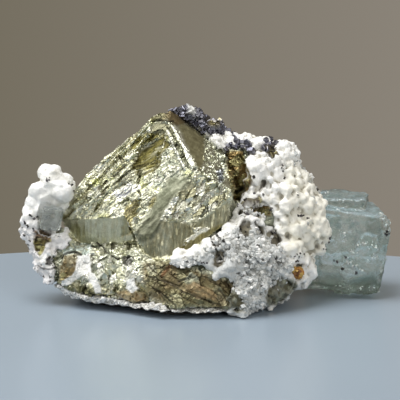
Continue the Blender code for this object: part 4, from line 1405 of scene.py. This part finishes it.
class SPECIMEN_OT_pyrite(Operator):
    """Brassy crystal with its growth lines and shell-shaped breaks, and the granular mass below it"""

    bl_idname = "specimen.pyrite"
    bl_label = "Pyrite"

    def execute(self, context):
        sizes = context.scene.specimen_sizes
        colours = context.scene.specimen_colours
        piece = regrid(node_copy("pyrite", "pyrite_crystal"), sizes.pyrite_grid, 2)
        mesh = piece.data
        skin = mesh_skin(mesh, (-0.1, 0.15), 1.1, 2.2, 3)
        zone = crystal_zones(skin)
        mass_zones(skin, zone)
        pattern = sulphide_patterns(skin)
        height = crystal_relief(skin, zone, pattern, sizes.growth_relief / MM)
        raise_points(mesh, skin, height + mass_relief(skin, zone, pattern))
        # How deep each point lies in a hollow, for the painted shade there.
        zone.hollow = ease(hollowness(mesh, 12), 0.04, 0.32)
        behind = 1.0 - skin.front
        zone.hidden = behind * ease(pattern.patchy, 0.15, 0.7)
        hidden_crumbs = zone.mass * behind * ease(skin.noise(3.5, 131), 0.55, 0.75)
        hidden_crumbs *= ease(pattern.fine.level + pattern.chips.rim, 0.2, 0.5)
        zone.crumbs = np.maximum(zone.crumbs, hidden_crumbs)
        layers = crystal_colours(skin, zone, pattern, colours)
        layers += mass_colours(skin, zone, pattern, colours)
        paint(mesh, painted(colours.brass, len(skin.points), *layers), **sulphide_finish(zone))

        # The same skin as two pieces: the crystal, and the mass that it stands in.
        lower_piece = make_object("pyrite_mass", mesh.copy())
        keep_part(piece.data, zone.crystal >= 0.5)
        keep_part(lower_piece.data, zone.crystal < 0.5)
        material = sulphide_material("pyrite_skin", 0.00035)
        for part in (piece, lower_piece):
            finish_piece(part, material, "pyrite", "pyrite")
        return {"FINISHED"}


class SPECIMEN_OT_galena(Operator):
    """Dark blue-grey cubes crusted along the top ridge and in patches on the white crust"""

    bl_idname = "specimen.galena"
    bl_label = "Galena"

    def execute(self, context):
        sizes = context.scene.specimen_sizes
        colours = context.scene.specimen_colours
        chance = np.random.default_rng(GALENA_DRAW)
        core = regrid(node_copy("galena", "galena_core"), GALENA_GRID, 1)
        spots, normals = surface_spots(core.data, GALENA_SPOTS, chance)
        largest = sizes.galena_cube / MM
        radii = largest * (0.28 + 0.24 * chance.random(len(spots)) ** 2)
        kept = spaced(spots, radii, 0.52)
        snowy = (Skin(spots, normals).inside(SNOW_PATCH_PX, 2.0) > 0.3) & (normals @ TO_VIEWER > -0.3)
        kept = kept[~snowy[kept]]
        spots, normals, radii = spots[kept], normals[kept], radii[kept]
        spots[:, 2] = np.minimum(spots[:, 2], GALENA_TOP)
        patch_spots, _ = seen_spots(bpy.data.objects["dolomite_white"], GALENA_PATCHES_PX)
        spots = np.concatenate([spots - normals * 0.35, patch_spots])
        radii = np.concatenate([radii, largest * (0.30 + 0.16 * chance.random(len(patch_spots)))])
        turns = random_turns(len(spots), chance)
        shape = radii[:, None] * (0.72 + 0.45 * chance.random((len(spots), 3)))
        corners, faces = repeated(cube_template(), spots, turns, shape)
        cubes = make_object("galena_cubes", mesh_from("galena_cubes", corners, faces))
        skin = mesh_skin(core.data, (-0.4, 0.1))
        height = Plates(skin.points, 1.1, 141).relief(0.35, 0.3, 0.6) - 1.6 * skin.seen(SNOW_PATCH_PX, 2.0)
        raise_points(core.data, skin, height)
        material = sulphide_material("galena_skin", 0.0004)
        for piece in (core, cubes):
            skin = mesh_skin(piece.data)
            level = Plates(skin.points, 1.5, 151).level
            gold = np.max([skin.inside(outline, 2.0) for outline in GOLD_PATCHES_PX], axis=0)
            white = skin.inside(WHITE_TIP_PX, 1.5)
            colour = painted(
                colours.galena,
                len(skin.points),
                (GALENA_GLINT, 0.35 * ease(level, 0.75, 0.95)),
                (colours.dark, 0.45 * ease(skin.noise(1.2, 152), 0.1, 0.8)),
                (colours.olive, 0.8 * gold * ease(level, 0.2, 0.5)),
                (colours.white, white),
            )
            metal = 0.92 - 0.9 * white
            paint(piece.data, colour, metal=metal, dull=0.30 + 0.4 * white, glitter=0.15, upright=0.0)
        finish_piece(core, material, "galena", "galena")
        finish_piece(cubes, material, "galena")
        return {"FINISHED"}


class SPECIMEN_OT_dolomite_crust(Operator):
    """White crust on the right: smooth white lumps, cream popcorn lumps and a floor for the drusy grain"""

    bl_idname = "specimen.dolomite_crust"
    bl_label = "Dolomite crust"

    def execute(self, context):
        sizes = context.scene.specimen_sizes
        colours = context.scene.specimen_colours
        centres, radii = self.lumps()
        piece = lumpy_skin("dolomite_crust", "dolomite_white", centres, radii, 1.2, sizes.crust_grid, 4)
        mesh = piece.data
        skin = mesh_skin(mesh, (-0.2, 0.1), 1.3, 2.4, 171)
        drusy = skin.drusy()
        cavity = skin.seen(CAVITY_PX)
        fissure = skin.seen(FISSURE_PX)
        spots = skin.any_seen(BROWN_SPOTS_PX, 1.5)
        rock = skin.any_seen(OLIVE_ROCK_PX, 2.0)
        # The crevices between the lumps: sunk, and painted dark as shade.
        crevice = skin.any_line(CREVICES_PX, 2.2) * skin.front
        chips = Plates(skin.points, 1.1, 181)
        self.shape(mesh, skin, chips, drusy, cavity, fissure, spots, rock, crevice)

        hollow = hollowness(mesh, 14)
        noise = skin.noise
        level = chips.level
        golden = ease(level, 0.72, 0.85)
        behind = (1 - skin.front) * ease(skin.back_zone(), -0.3, 0.6)
        cream = np.maximum(skin.seen(CREAM_PX, 8.0), behind)
        snow = np.maximum(skin.inside(SNOW_RIM_PX, 2.0), skin.inside(SNOW_PATCH_PX, 2.0)) * skin.front
        warm = ease(noise(4.0, 183), 0.2, 0.9)
        clean = 1.0 - np.clip(cavity + fissure + spots + rock, 0.0, 1.0)
        # Painted shade: the crust is darkened in its hollows, between the lumps.
        hollow_shade = ease(hollow + 0.12 * noise(1.4, 184), 0.05, 0.30) * (1.0 - 0.6 * snow) * clean
        # Painted shade: the deepest hollows are painted near black.
        pocket = ease(hollow + 0.25 * noise(1.2, 185), 0.40, 0.54) * (1.0 - 0.8 * snow)
        colour = painted(
            colours.white,
            len(skin.points),
            (colours.cream, 0.85 * cream),
            (colours.drusy, 0.75 * drusy * (1.0 - snow)),
            (WARM_CREAM, 0.4 * warm * (1 - drusy) * (0.3 + 0.7 * cream)),
            (colours.olive, 0.9 * cavity),
            (colours.brown, np.clip(cavity * ease(level, 0.3, 0.6) * (1 - golden), 0, 1)),
            (CAVITY_GOLD, 0.8 * (cavity + 0.8 * fissure).clip(0, 1) * golden),
            (SPOT_BROWN, 0.92 * spots),
            (FISSURE_OLIVE, 0.92 * fissure),
            (FISSURE_DARK, 0.9 * fissure * ease(level, 0.55, 0.3)),
            (FISSURE_GOLD, 0.8 * fissure * golden),
            (ROCK_GREY, 0.92 * rock),
            (ROCK_DARK, 0.8 * rock * ease(noise(1.3, 187), -0.3, 0.4)),
            (colours.grey_green, 0.6 * rock * ease(level, 0.7, 0.85)),
            (CRUST_HOLLOW_SHADE, 0.80 * hollow_shade * (1.0 - 0.4 * drusy)),
            (colours.dark, 0.75 * pocket),
            # Painted shade along the crevices between the lumps.
            (CREVICE_SHADE, 0.85 * crevice * ease(noise(1.5, 190), -0.6, 0.2)),
        )
        paint(mesh, colour, metal=np.clip(0.7 * cavity + 0.5 * rock + 0.3 * fissure, 0, 1))
        material = dolomite_material("dolomite_white_skin", 0.0004)
        finish_piece(piece, material, "dolomite_crust", "dolomite_crust", smooth=True)
        return {"FINISHED"}

    @staticmethod
    def lumps():
        """Centres and radii of the lumps: named ones, and random ones that leave the hollows bare."""
        chance = np.random.default_rng(CRUST_DRAW)
        source = regrid(node_copy("dolomite_crust", "source"), CRUST_SOURCE_GRID, 3)
        ridge_source = node_copy("galena", "ridge_source")
        found = [seen_lumps(source, CRUST_LUMPS_PX), seen_lumps(ridge_source, SNOW_LUMPS_PX)]
        named = [np.concatenate(values) for values in zip(*found)]
        bpy.data.objects.remove(ridge_source)
        spots, normals = surface_spots(source.data, CRUST_SPOTS, chance)
        skin = Skin(spots, normals, (-0.2, 0.2))
        front = skin.front
        smooth = (1 - front) * ease(skin.back_zone(), 0.1, 0.5)
        drusy = skin.drusy()
        bare = skin.inside(CAVITY_PX, 3.0) + skin.inside(FISSURE_PX, 2.0)
        for outline in OLIVE_ROCK_PX + BROWN_SPOTS_PX:
            bare += skin.inside(outline, 2.0)
        radii = (0.75 + 0.65 * chance.random(len(spots)) ** 1.5) * (1 + 1.6 * smooth) * (1 - 0.42 * drusy)
        usable = np.clip(bare, 0, 1) * front < 0.4
        usable &= chance.random(len(spots)) > 0.62 * front * (1.0 - drusy)
        usable &= (spots[:, 2] > 3.0) | (front < 0.5)
        bpy.data.objects.remove(source)
        return ball_places(named, spots[usable], normals[usable], radii[usable], 0.72, (0.35, 0.6))

    @staticmethod
    def shape(mesh, skin, chips, drusy, cavity, fissure, spots, rock, crevice):
        """Roughens the crust and sinks its hollows, within the solid's reach at the back."""
        noise = skin.noise
        height = 0.26 * noise(1.5, 182) + 0.12 * soft_noise(skin.points, 0.6, 186)
        height += 0.55 * noise(3.0, 189, 2) * skin.front * (1 - drusy)
        height += (0.25 * drusy + 0.5 * (cavity + fissure + 1.5 * rock + spots)) * chips.slope
        height += rock * (0.5 * (chips.level - 0.5) + 0.25 * noise(0.7, 188))
        height -= 0.8 * cavity + 2.2 * fissure * ease(skin.soft_down, 196, 204) + 0.7 * spots + 0.8 * crevice
        moved = skin.points + skin.normals * height[:, None]
        moved[:, 1] -= 0.8 * np.maximum(moved[:, 1] - BACK_LIMIT, 0.0)
        set_points(mesh, on_table(moved))


class SPECIMEN_OT_dolomite_grains(Operator):
    """Fine drusy rhombs on the white crust"""

    bl_idname = "specimen.dolomite_grains"
    bl_label = "Drusy grains"

    def execute(self, context):
        sizes = context.scene.specimen_sizes
        colours = context.scene.specimen_colours
        chance = np.random.default_rng(GRAIN_DRAW)
        spots, normals = surface_spots(bpy.data.objects["dolomite_white"].data, sizes.drusy_count, chance)
        skin = Skin(spots, normals)
        front = normals @ TO_VIEWER > -0.1
        drusy = np.where(front, skin.inside(DRUSY_PX, 5.0), ease(-skin.back_zone(), 0.2, 0.6))
        bare = skin.inside(CAVITY_PX, 2.0) + skin.inside(FISSURE_PX, 2.0)
        bare += skin.inside(SNOW_RIM_PX, 1.0) + skin.inside(SNOW_LOW_PX, 3.0)
        for outline in BROWN_SPOTS_PX:
            bare += skin.inside(outline, 1.0)
        drusy *= 1.0 - np.clip(bare, 0, 1) * front
        keep = (drusy > chance.random(len(spots))) & (spots[:, 2] > 0.8)
        spots, normals = spots[keep], normals[keep]
        edges = sizes.drusy_grain / MM * (0.45 + 0.6 * chance.random(len(spots)) ** 1.4)
        kept = spaced(spots, edges, 0.36)
        centres = spots[kept] + normals[kept] * 0.08
        stretch = edges[kept][:, None] * np.ones((1, 3))
        piece, tones = scattered_rhombs("dolomite_grains", centres, stretch, chance, 0.0)
        colour = painted(
            colours.drusy,
            len(tones),
            (colours.white, ease(tones, 0.3, 1.0)),
            (GRAIN_GREY, 0.5 * ease(tones, 0.08, 0.0)),
        )
        paint(piece.data, colour, metal=0.0)
        finish_piece(piece, dolomite_material("drusy_skin", 0.0005), "dolomite_crust")
        return {"FINISHED"}


class SPECIMEN_OT_dolomite_knob(Operator):
    """White rounded lumps at the left end, granular and speckled lower down"""

    bl_idname = "specimen.dolomite_knob"
    bl_label = "Dolomite knob"

    def execute(self, context):
        sizes = context.scene.specimen_sizes
        colours = context.scene.specimen_colours
        centres, radii = self.lumps()
        piece = lumpy_skin("dolomite_knob", "dolomite_knob_lumps", centres, radii, 0.45, sizes.knob_grid, 8)
        mesh = piece.data
        skin = mesh_skin(mesh, (-0.2, 0.1), 1.0, 2.0, 191)
        noise = skin.noise
        low = ease(skin.points[:, 2], *KNOB_LOW)
        patch = skin.seen(LEFT_PATCH_PX)
        grain = Plates(skin.points, 0.8, 201)
        height = 0.14 * noise(2.0, 202) + 0.05 * soft_noise(skin.points, 0.6, 206)
        height += low * grain.relief(0.35, 0.15) + patch * (grain.relief(0.5, 0.5, 0.6) - 0.4)
        moved = skin.points + skin.normals * height[:, None]
        moved[:, 2] -= KNOB_DROP * ease(skin.down, 190, 168)
        set_points(mesh, on_table(moved))
        down = skin.soft_down
        colour = painted(
            colours.white,
            len(skin.points),
            (colours.cream, 0.25 * ease(noise(4.0, 203), 0.0, 0.8)),
            (KNOB_LILAC, 0.5 * low),
            # Painted shade in the hollows between the lumps.
            (KNOB_HOLLOW_SHADE, 0.6 * ease(hollowness(mesh, 14), 0.10, 0.40)),
            (colours.dark, low * ease(noise(1.2, 204), 0.80, 0.95)),
            (PATCH_BROWN, 0.95 * patch),
            (PATCH_OLIVE, 0.85 * patch * ease(down, 238, 244)),
            (PATCH_DARK, 0.8 * patch * ease(grain.level, 0.5, 0.25)),
            (PATCH_GOLD, 0.8 * patch * ease(grain.level, 0.8, 0.9) * ease(down, 236, 242)),
            (colours.white, skin.seen(PIT_RING_PX)),
            (colours.dark, 0.9 * skin.seen(KNOB_PIT_PX, 1.2)),
            (colours.dark, 0.8 * skin.line(PIT_ARC_PX, 1.2) * skin.front),
        )
        paint(mesh, colour, metal=0.4 * patch)
        material = dolomite_material("knob_skin", 0.0004)
        finish_piece(piece, material, "dolomite_knob", "dolomite_knob", smooth=True)
        return {"FINISHED"}

    @staticmethod
    def lumps():
        """Centres and radii of the knob's lumps: the named ones, and random ones behind and low down."""
        chance = np.random.default_rng(KNOB_DRAW)
        source = regrid(node_copy("dolomite_knob", "source"), KNOB_SOURCE_GRID, 3)
        named = seen_lumps(source, KNOB_LUMPS_PX)
        spots, normals = surface_spots(source.data, KNOB_SPOTS, chance)
        low = ease(spots[:, 2], *KNOB_LOW)
        radii = (1.8 + 1.0 * chance.random(len(spots))) * (1.0 - 0.68 * low)
        usable = (low > 0.2) | (normals @ TO_VIEWER < 0.1)
        bpy.data.objects.remove(source)
        return ball_places(named, spots[usable], normals[usable], radii[usable], 0.7, (0.25, 0.25))


class SPECIMEN_OT_dolomite_base(Operator):
    """Pale crust under the mass, seen as a broken rim along the table"""

    bl_idname = "specimen.dolomite_base"
    bl_label = "Dolomite base"

    def execute(self, context):
        sizes = context.scene.specimen_sizes
        colours = context.scene.specimen_colours
        piece = regrid(node_copy("dolomite_base", "dolomite_rim"), sizes.base_grid, 1)
        mesh = piece.data
        skin = mesh_skin(mesh)
        chips = Plates(skin.points, 1.4, 211)
        fine = Plates(skin.points, 0.7, 221)
        raised = ease(skin.points[:, 2], 0.05, 0.8)
        height = raised * (chips.relief(0.45, 0.5) + 0.22 * fine.slope)
        moved = on_table(skin.points + skin.normals * height[:, None])

        # The foot is drawn in under the rim, more so on the left, and the drawn-in part is painted dark as
        # shadow.
        gap = 1.7 + 0.4 * ease(moved[:, 0], 8.0, -12.0)
        undercut = ease(gap - moved[:, 2] - 0.5 * skin.noise(3.0, 223), 0.0, 1.0)
        middle = 0.5 * (moved[:, :2].min(axis=0) + moved[:, :2].max(axis=0))
        moved[:, :2] = middle + (moved[:, :2] - middle) * (1.0 - undercut[:, None] * np.array((0.08, 0.24)))
        set_points(mesh, moved)
        colour = painted(
            RIM_GREY,
            len(skin.points),
            (colours.white, 0.9 * ease(chips.level, 0.35, 0.65)),
            (RIM_DIRT, 0.6 * ease(skin.noise(3.0, 222), 0.2, 0.8)),
            # Painted shadow on the drawn-in foot under the rim.
            (colours.dark, undercut),
            (colours.dark, 0.7 * ease(0.18 - fine.rim, 0.0, 0.15)),
        )
        paint(mesh, colour, metal=0.0)
        finish_piece(piece, dolomite_material("rim_skin", 0.0005), "dolomite_base", "dolomite_base")
        return {"FINISHED"}


class SPECIMEN_OT_specks(Operator):
    """Small dark crystals set in the white dolomite and on the fluorite"""

    bl_idname = "specimen.specks"
    bl_label = "Dark specks"

    def execute(self, context):
        colours = context.scene.specimen_colours
        chance = np.random.default_rng(SPECK_DRAW)
        found = []
        for name, places in (("dolomite_white", SPECK_PX), ("dolomite_knob_lumps", KNOB_SPECK_PX)):
            piece = bpy.data.objects[name]
            found.append(seen_spots(piece, places))
            found.append(hidden_spots(piece.data, SPECK_SPOTS, 60, chance))
        found.append(seen_spots(bpy.data.objects["fluorite_cubes"], FLUORITE_SPECK_PX))
        spots, normals = (np.repeat(np.concatenate(values), 3, axis=0) for values in zip(*found))
        around = spots + chance.normal(size=spots.shape) * 0.30
        edges = 0.22 + 0.38 * chance.random(len(around))
        stretch = edges[:, None] * (0.6 + 0.9 * chance.random((len(around), 3)))
        piece, tones = scattered_rhombs("dark_specks", around - normals * 0.12, stretch, chance)
        colour = painted(colours.dark, len(tones), (SPECK_GREY, ease(tones, 0.5, 1.0)))
        paint(piece.data, colour, metal=0.5, dull=0.35, glitter=0.2, upright=0.0)
        finish_piece(piece, sulphide_material("speck_skin", 0.0004), "galena")
        return {"FINISHED"}


class SPECIMEN_OT_fluorite(Operator):
    """Pale blue-green intergrown cubes at the right end, with stepped and etched faces"""

    bl_idname = "specimen.fluorite"
    bl_label = "Fluorite"

    def execute(self, context):
        sizes = context.scene.specimen_sizes
        colours = context.scene.specimen_colours
        piece = regrid(node_copy("fluorite_crystal", "fluorite_cubes"), sizes.fluorite_grid, 1)
        mesh = piece.data
        edge = ease(-hollowness(mesh, 30), 0.10, 0.50)
        skin = mesh_skin(mesh, (-0.1, 0.2))
        points = skin.points
        noise = skin.noise
        steps = Plates(squeezed(points, ALONG, 0.6), 3.2, 231)
        fine = Plates(points, 1.2, 241)
        low = ease(points[:, 2], 10.0, 4.0)
        layers = np.abs(soft_noise(squeezed(points, ALONG, 0.1), 1.6, 242))
        # The patch where the crystal glints: roughened, and painted whitish as a highlight.
        frost = skin.seen(GLINT_PX)
        height = steps.relief(0.12, 0.20) + 0.10 * fine.slope - 0.5 * low * (0.6 - layers)
        height += 0.06 * noise(1.6, 243) + 0.15 * noise(5.0, 244, 2)
        height -= edge * (0.25 + 0.9 * fine.level * ease(noise(2.5, 245), -0.2, 0.5))
        height += 0.35 * frost * fine.slope
        moved = points + skin.normals * height[:, None]
        outside = ease(skin.inside(FLUORITE_CORNER_PX, 6.0), 0.5, 0.0) * ease(skin.across, 340, 360)
        set_points(mesh, drawn_in(moved, outside, 1.9))
        chipped = edge * ease(noise(1.5, 246), 0.0, 0.7)
        corner = skin.seen(SMOKY_CORNER_PX, 2.5)
        top = 0.30 * ease(skin.down, 212, 200) * skin.front
        deep = 0.75 * low * ease(layers, 0.5, 0.2) + 0.30 * low + 0.45 * corner + top
        set_values(mesh, frost=np.clip(frost + 0.45 * chipped, 0.0, 1.0), low=deep)
        material = fluorite_material("fluorite_skin", tuple(colours.fluorite), FLUORITE_CLOUD, 0.0005)
        finish_piece(piece, material, "fluorite_crystal", "fluorite_crystal", smooth=True)
        self.add_flecks(piece)
        return {"FINISHED"}

    @staticmethod
    def add_flecks(fluorite):
        """Bright cleavage flecks: thin plates lying on the broken corner and over the milky veils; those on
        the broken corner are partly painted highlight, put where the crystal glints.
        """
        chance = np.random.default_rng(FLECK_DRAW)
        found = [seen_spots(fluorite, FLUORITE_FLECK_PX)]
        found.append(hidden_spots(fluorite.data, FLECK_SPOTS, 40, chance))
        spots, normals = (np.repeat(np.concatenate(values), 4, axis=0) for values in zip(*found))
        around = spots + chance.normal(size=spots.shape) * 0.45
        around -= normals * np.sum((around - spots) * normals, axis=1)[:, None]
        edges = 0.20 + 0.55 * chance.random(len(around)) ** 1.6
        stretch = edges[:, None] * np.array((1.0, 0.8, 0.35))
        flecks, tones = scattered_rhombs("fluorite_flecks", around - normals * 0.05, stretch, chance)
        # Painted highlight, in part: the white plates on the broken corner stand where the crystal glints.
        paint(flecks.data, painted(FLECK_GREY, len(tones), (FLECK_WHITE, tones)), metal=0.0)
        finish_piece(flecks, dolomite_material("fleck_skin", 0.0004), "fluorite_crystal")


class SPECIMEN_OT_small_fluorite(Operator):
    """Small grey fluorite cube on the left knob"""

    bl_idname = "specimen.small_fluorite"
    bl_label = "Small fluorite"

    def execute(self, context):
        piece = regrid(node_copy("fluorite_small", "fluorite_small_cube"), SMALL_FLUORITE_GRID, 12)
        mesh = piece.data
        skin = mesh_skin(mesh)
        edge = ease(-hollowness(mesh, 60), 0.05, 0.6)
        height = Plates(skin.points, 1.8, 251).relief(0.12, 0.12) - 0.9 * edge
        moved = skin.points + skin.normals * height[:, None]
        outside = ease(skin.inside(SMALL_FLUORITE_PX, 3.0), 0.5, 0.0)
        set_points(mesh, drawn_in(moved, outside, 1.1))
        veil = ease(skin.down - 0.5 * skin.across + 4.0 * skin.noise(2.0, 253), 186, 170)
        # The glint patch is painted whitish as a highlight, and the milky veil at the top is frosted.
        frost = np.maximum(skin.inside(SMALL_GLINT_PX, 1.0), 0.5 * veil)
        set_values(mesh, low=0.35 * ease(skin.noise(3.0, 252), 0.0, 0.8), frost=frost)
        material = fluorite_material("small_fluorite_skin", SMALL_FLUORITE, SMALL_CLOUD, 0.001, 0.9, 0.5)
        finish_piece(piece, material, "fluorite_small", "fluorite_small", smooth=True)
        return {"FINISHED"}


class SPECIMEN_OT_sphalerite(Operator):
    """Orange-brown resinous grain low on the right"""

    bl_idname = "specimen.sphalerite"
    bl_label = "Sphalerite grain"

    def execute(self, context):
        colours = context.scene.specimen_colours
        piece = regrid(node_copy("sphalerite_grain", "orange_grain"), ORANGE_GRID, 1)
        skin = mesh_skin(piece.data)
        chips = Plates(skin.points, 0.9, 261)
        raise_points(piece.data, skin, chips.relief(0.5, 0.45))
        colour = painted(
            colours.orange,
            len(skin.points),
            (ORANGE_LIGHT, ease(chips.level, 0.6, 0.9)),
            (ORANGE_DARK, ease(chips.level, 0.35, 0.05)),
        )
        paint(piece.data, colour, metal=0.0)
        finish_piece(piece, dolomite_material("orange_skin", 0.0003), "sphalerite_grain", "sphalerite_grain")
        return {"FINISHED"}


class SPECIMEN_OT_stage(Operator):
    """Pale floor, soft studio lights and the camera"""

    bl_idname = "specimen.stage"
    bl_label = "Stage"

    def execute(self, context):
        scene = context.scene
        self.add_floor()
        scene.world = self.room()
        for light in LIGHTS:
            self.add_light(*light)
        camera_data = bpy.data.cameras.new("view")
        camera_data.sensor_width = SENSOR_WIDTH
        camera_data.lens = SENSOR_WIDTH * VIEW_FOCUS / (2.0 * VIEW_CENTRE)
        camera_data.clip_start = 0.01
        camera = make_object("view", camera_data)
        camera.location = Vector(VIEW_PLACE * MM)
        camera.rotation_euler = (math.pi / 2 - VIEW_TILT, 0.0, 0.0)
        scene.camera = camera
        scene.view_settings.view_transform = "Standard"
        return {"FINISHED"}

    @staticmethod
    def add_floor():
        """The round table top, with its rim rounded."""
        disc = bmesh.new()
        round_size = {"radius1": TABLE_RADIUS, "radius2": TABLE_RADIUS, "depth": TABLE_THICKNESS}
        bmesh.ops.create_cone(disc, cap_ends=True, segments=240, **round_size)
        rims = [edge for edge in disc.edges if abs(edge.verts[0].co.z - edge.verts[1].co.z) < 1e-6]
        bmesh.ops.bevel(disc, geom=rims, offset=TABLE_EDGE, segments=3, affect="EDGES")
        mesh = bpy.data.meshes.new("floor")
        disc.to_mesh(mesh)
        disc.free()
        floor = make_object("floor", mesh)
        floor.location = (*TABLE_CENTRE, -TABLE_DROP - TABLE_THICKNESS / 2)
        maker = MaterialMaker(bpy.data.materials.new("floor_paint"))
        cloud = maker.ramp(maker.noise(9.0, 2.0, 0.5), 0.3, 0.7)
        colour = maker.mix(cloud, FLOOR_DARK, FLOOR_LIGHT)
        floor.data.materials.append(maker.set(Base_Color=colour, Roughness=0.28))

    @staticmethod
    def room():
        """A plain warm grey room, a little lighter on the right."""
        maker = MaterialMaker(bpy.data.worlds.new("room"), "Background")
        way = maker.node("ShaderNodeTexCoord").outputs["Generated"]
        across = maker.node("ShaderNodeSeparateXYZ", {0: way}).outputs["X"]
        return maker.set(Color=maker.mix(maker.ramp(across, -0.12, 0.12), ROOM_LEFT, ROOM_RIGHT))

    @staticmethod
    def add_light(name, direction, distance, size, power, colour):
        """A square lamp that shines on the specimen from a direction."""
        data = bpy.data.lights.new(name, "AREA")
        data.shape = "SQUARE"
        data.size = size
        data.energy = power
        data.color = colour
        light = make_object(name, data)
        way = Vector(direction).normalized()
        light.location = way * distance
        light.rotation_euler = way.to_track_quat("Z", "Y").to_euler()


class SPECIMEN_PT_panel(Panel):
    """Lists the pieces of the specimen"""

    bl_idname = "SPECIMEN_PT_panel"
    bl_label = "Specimen"
    bl_space_type = "VIEW_3D"
    bl_region_type = "UI"
    bl_category = "Specimen"

    def draw(self, context):
        for group in (context.scene.specimen_sizes, context.scene.specimen_colours):
            box = self.layout.box()
            for name in group.__annotations__:
                box.prop(group, name)
        for step in PIECE_OPERATORS:
            self.layout.operator(step.bl_idname)


# In the order in which they run: grains, galena, specks and flecks look for places on pieces made before.
PIECE_OPERATORS = (
    SPECIMEN_OT_pyrite,
    SPECIMEN_OT_dolomite_crust,
    SPECIMEN_OT_dolomite_grains,
    SPECIMEN_OT_dolomite_knob,
    SPECIMEN_OT_dolomite_base,
    SPECIMEN_OT_galena,
    SPECIMEN_OT_fluorite,
    SPECIMEN_OT_specks,
    SPECIMEN_OT_small_fluorite,
    SPECIMEN_OT_sphalerite,
    SPECIMEN_OT_stage,
)
CLASSES = (SpecimenSizes, SpecimenColours, *PIECE_OPERATORS, SPECIMEN_PT_panel)


def register():
    for item in CLASSES:
        bpy.utils.register_class(item)
    bpy.types.Scene.specimen_sizes = PointerProperty(type=SpecimenSizes)
    bpy.types.Scene.specimen_colours = PointerProperty(type=SpecimenColours)


def unregister():
    del bpy.types.Scene.specimen_colours
    del bpy.types.Scene.specimen_sizes
    for item in reversed(CLASSES):
        bpy.utils.unregister_class(item)


def main():
    register()
    for step in PIECE_OPERATORS:
        group, name = step.bl_idname.split(".")
        getattr(getattr(bpy.ops, group), name)()


if __name__ == "__main__":
    main()
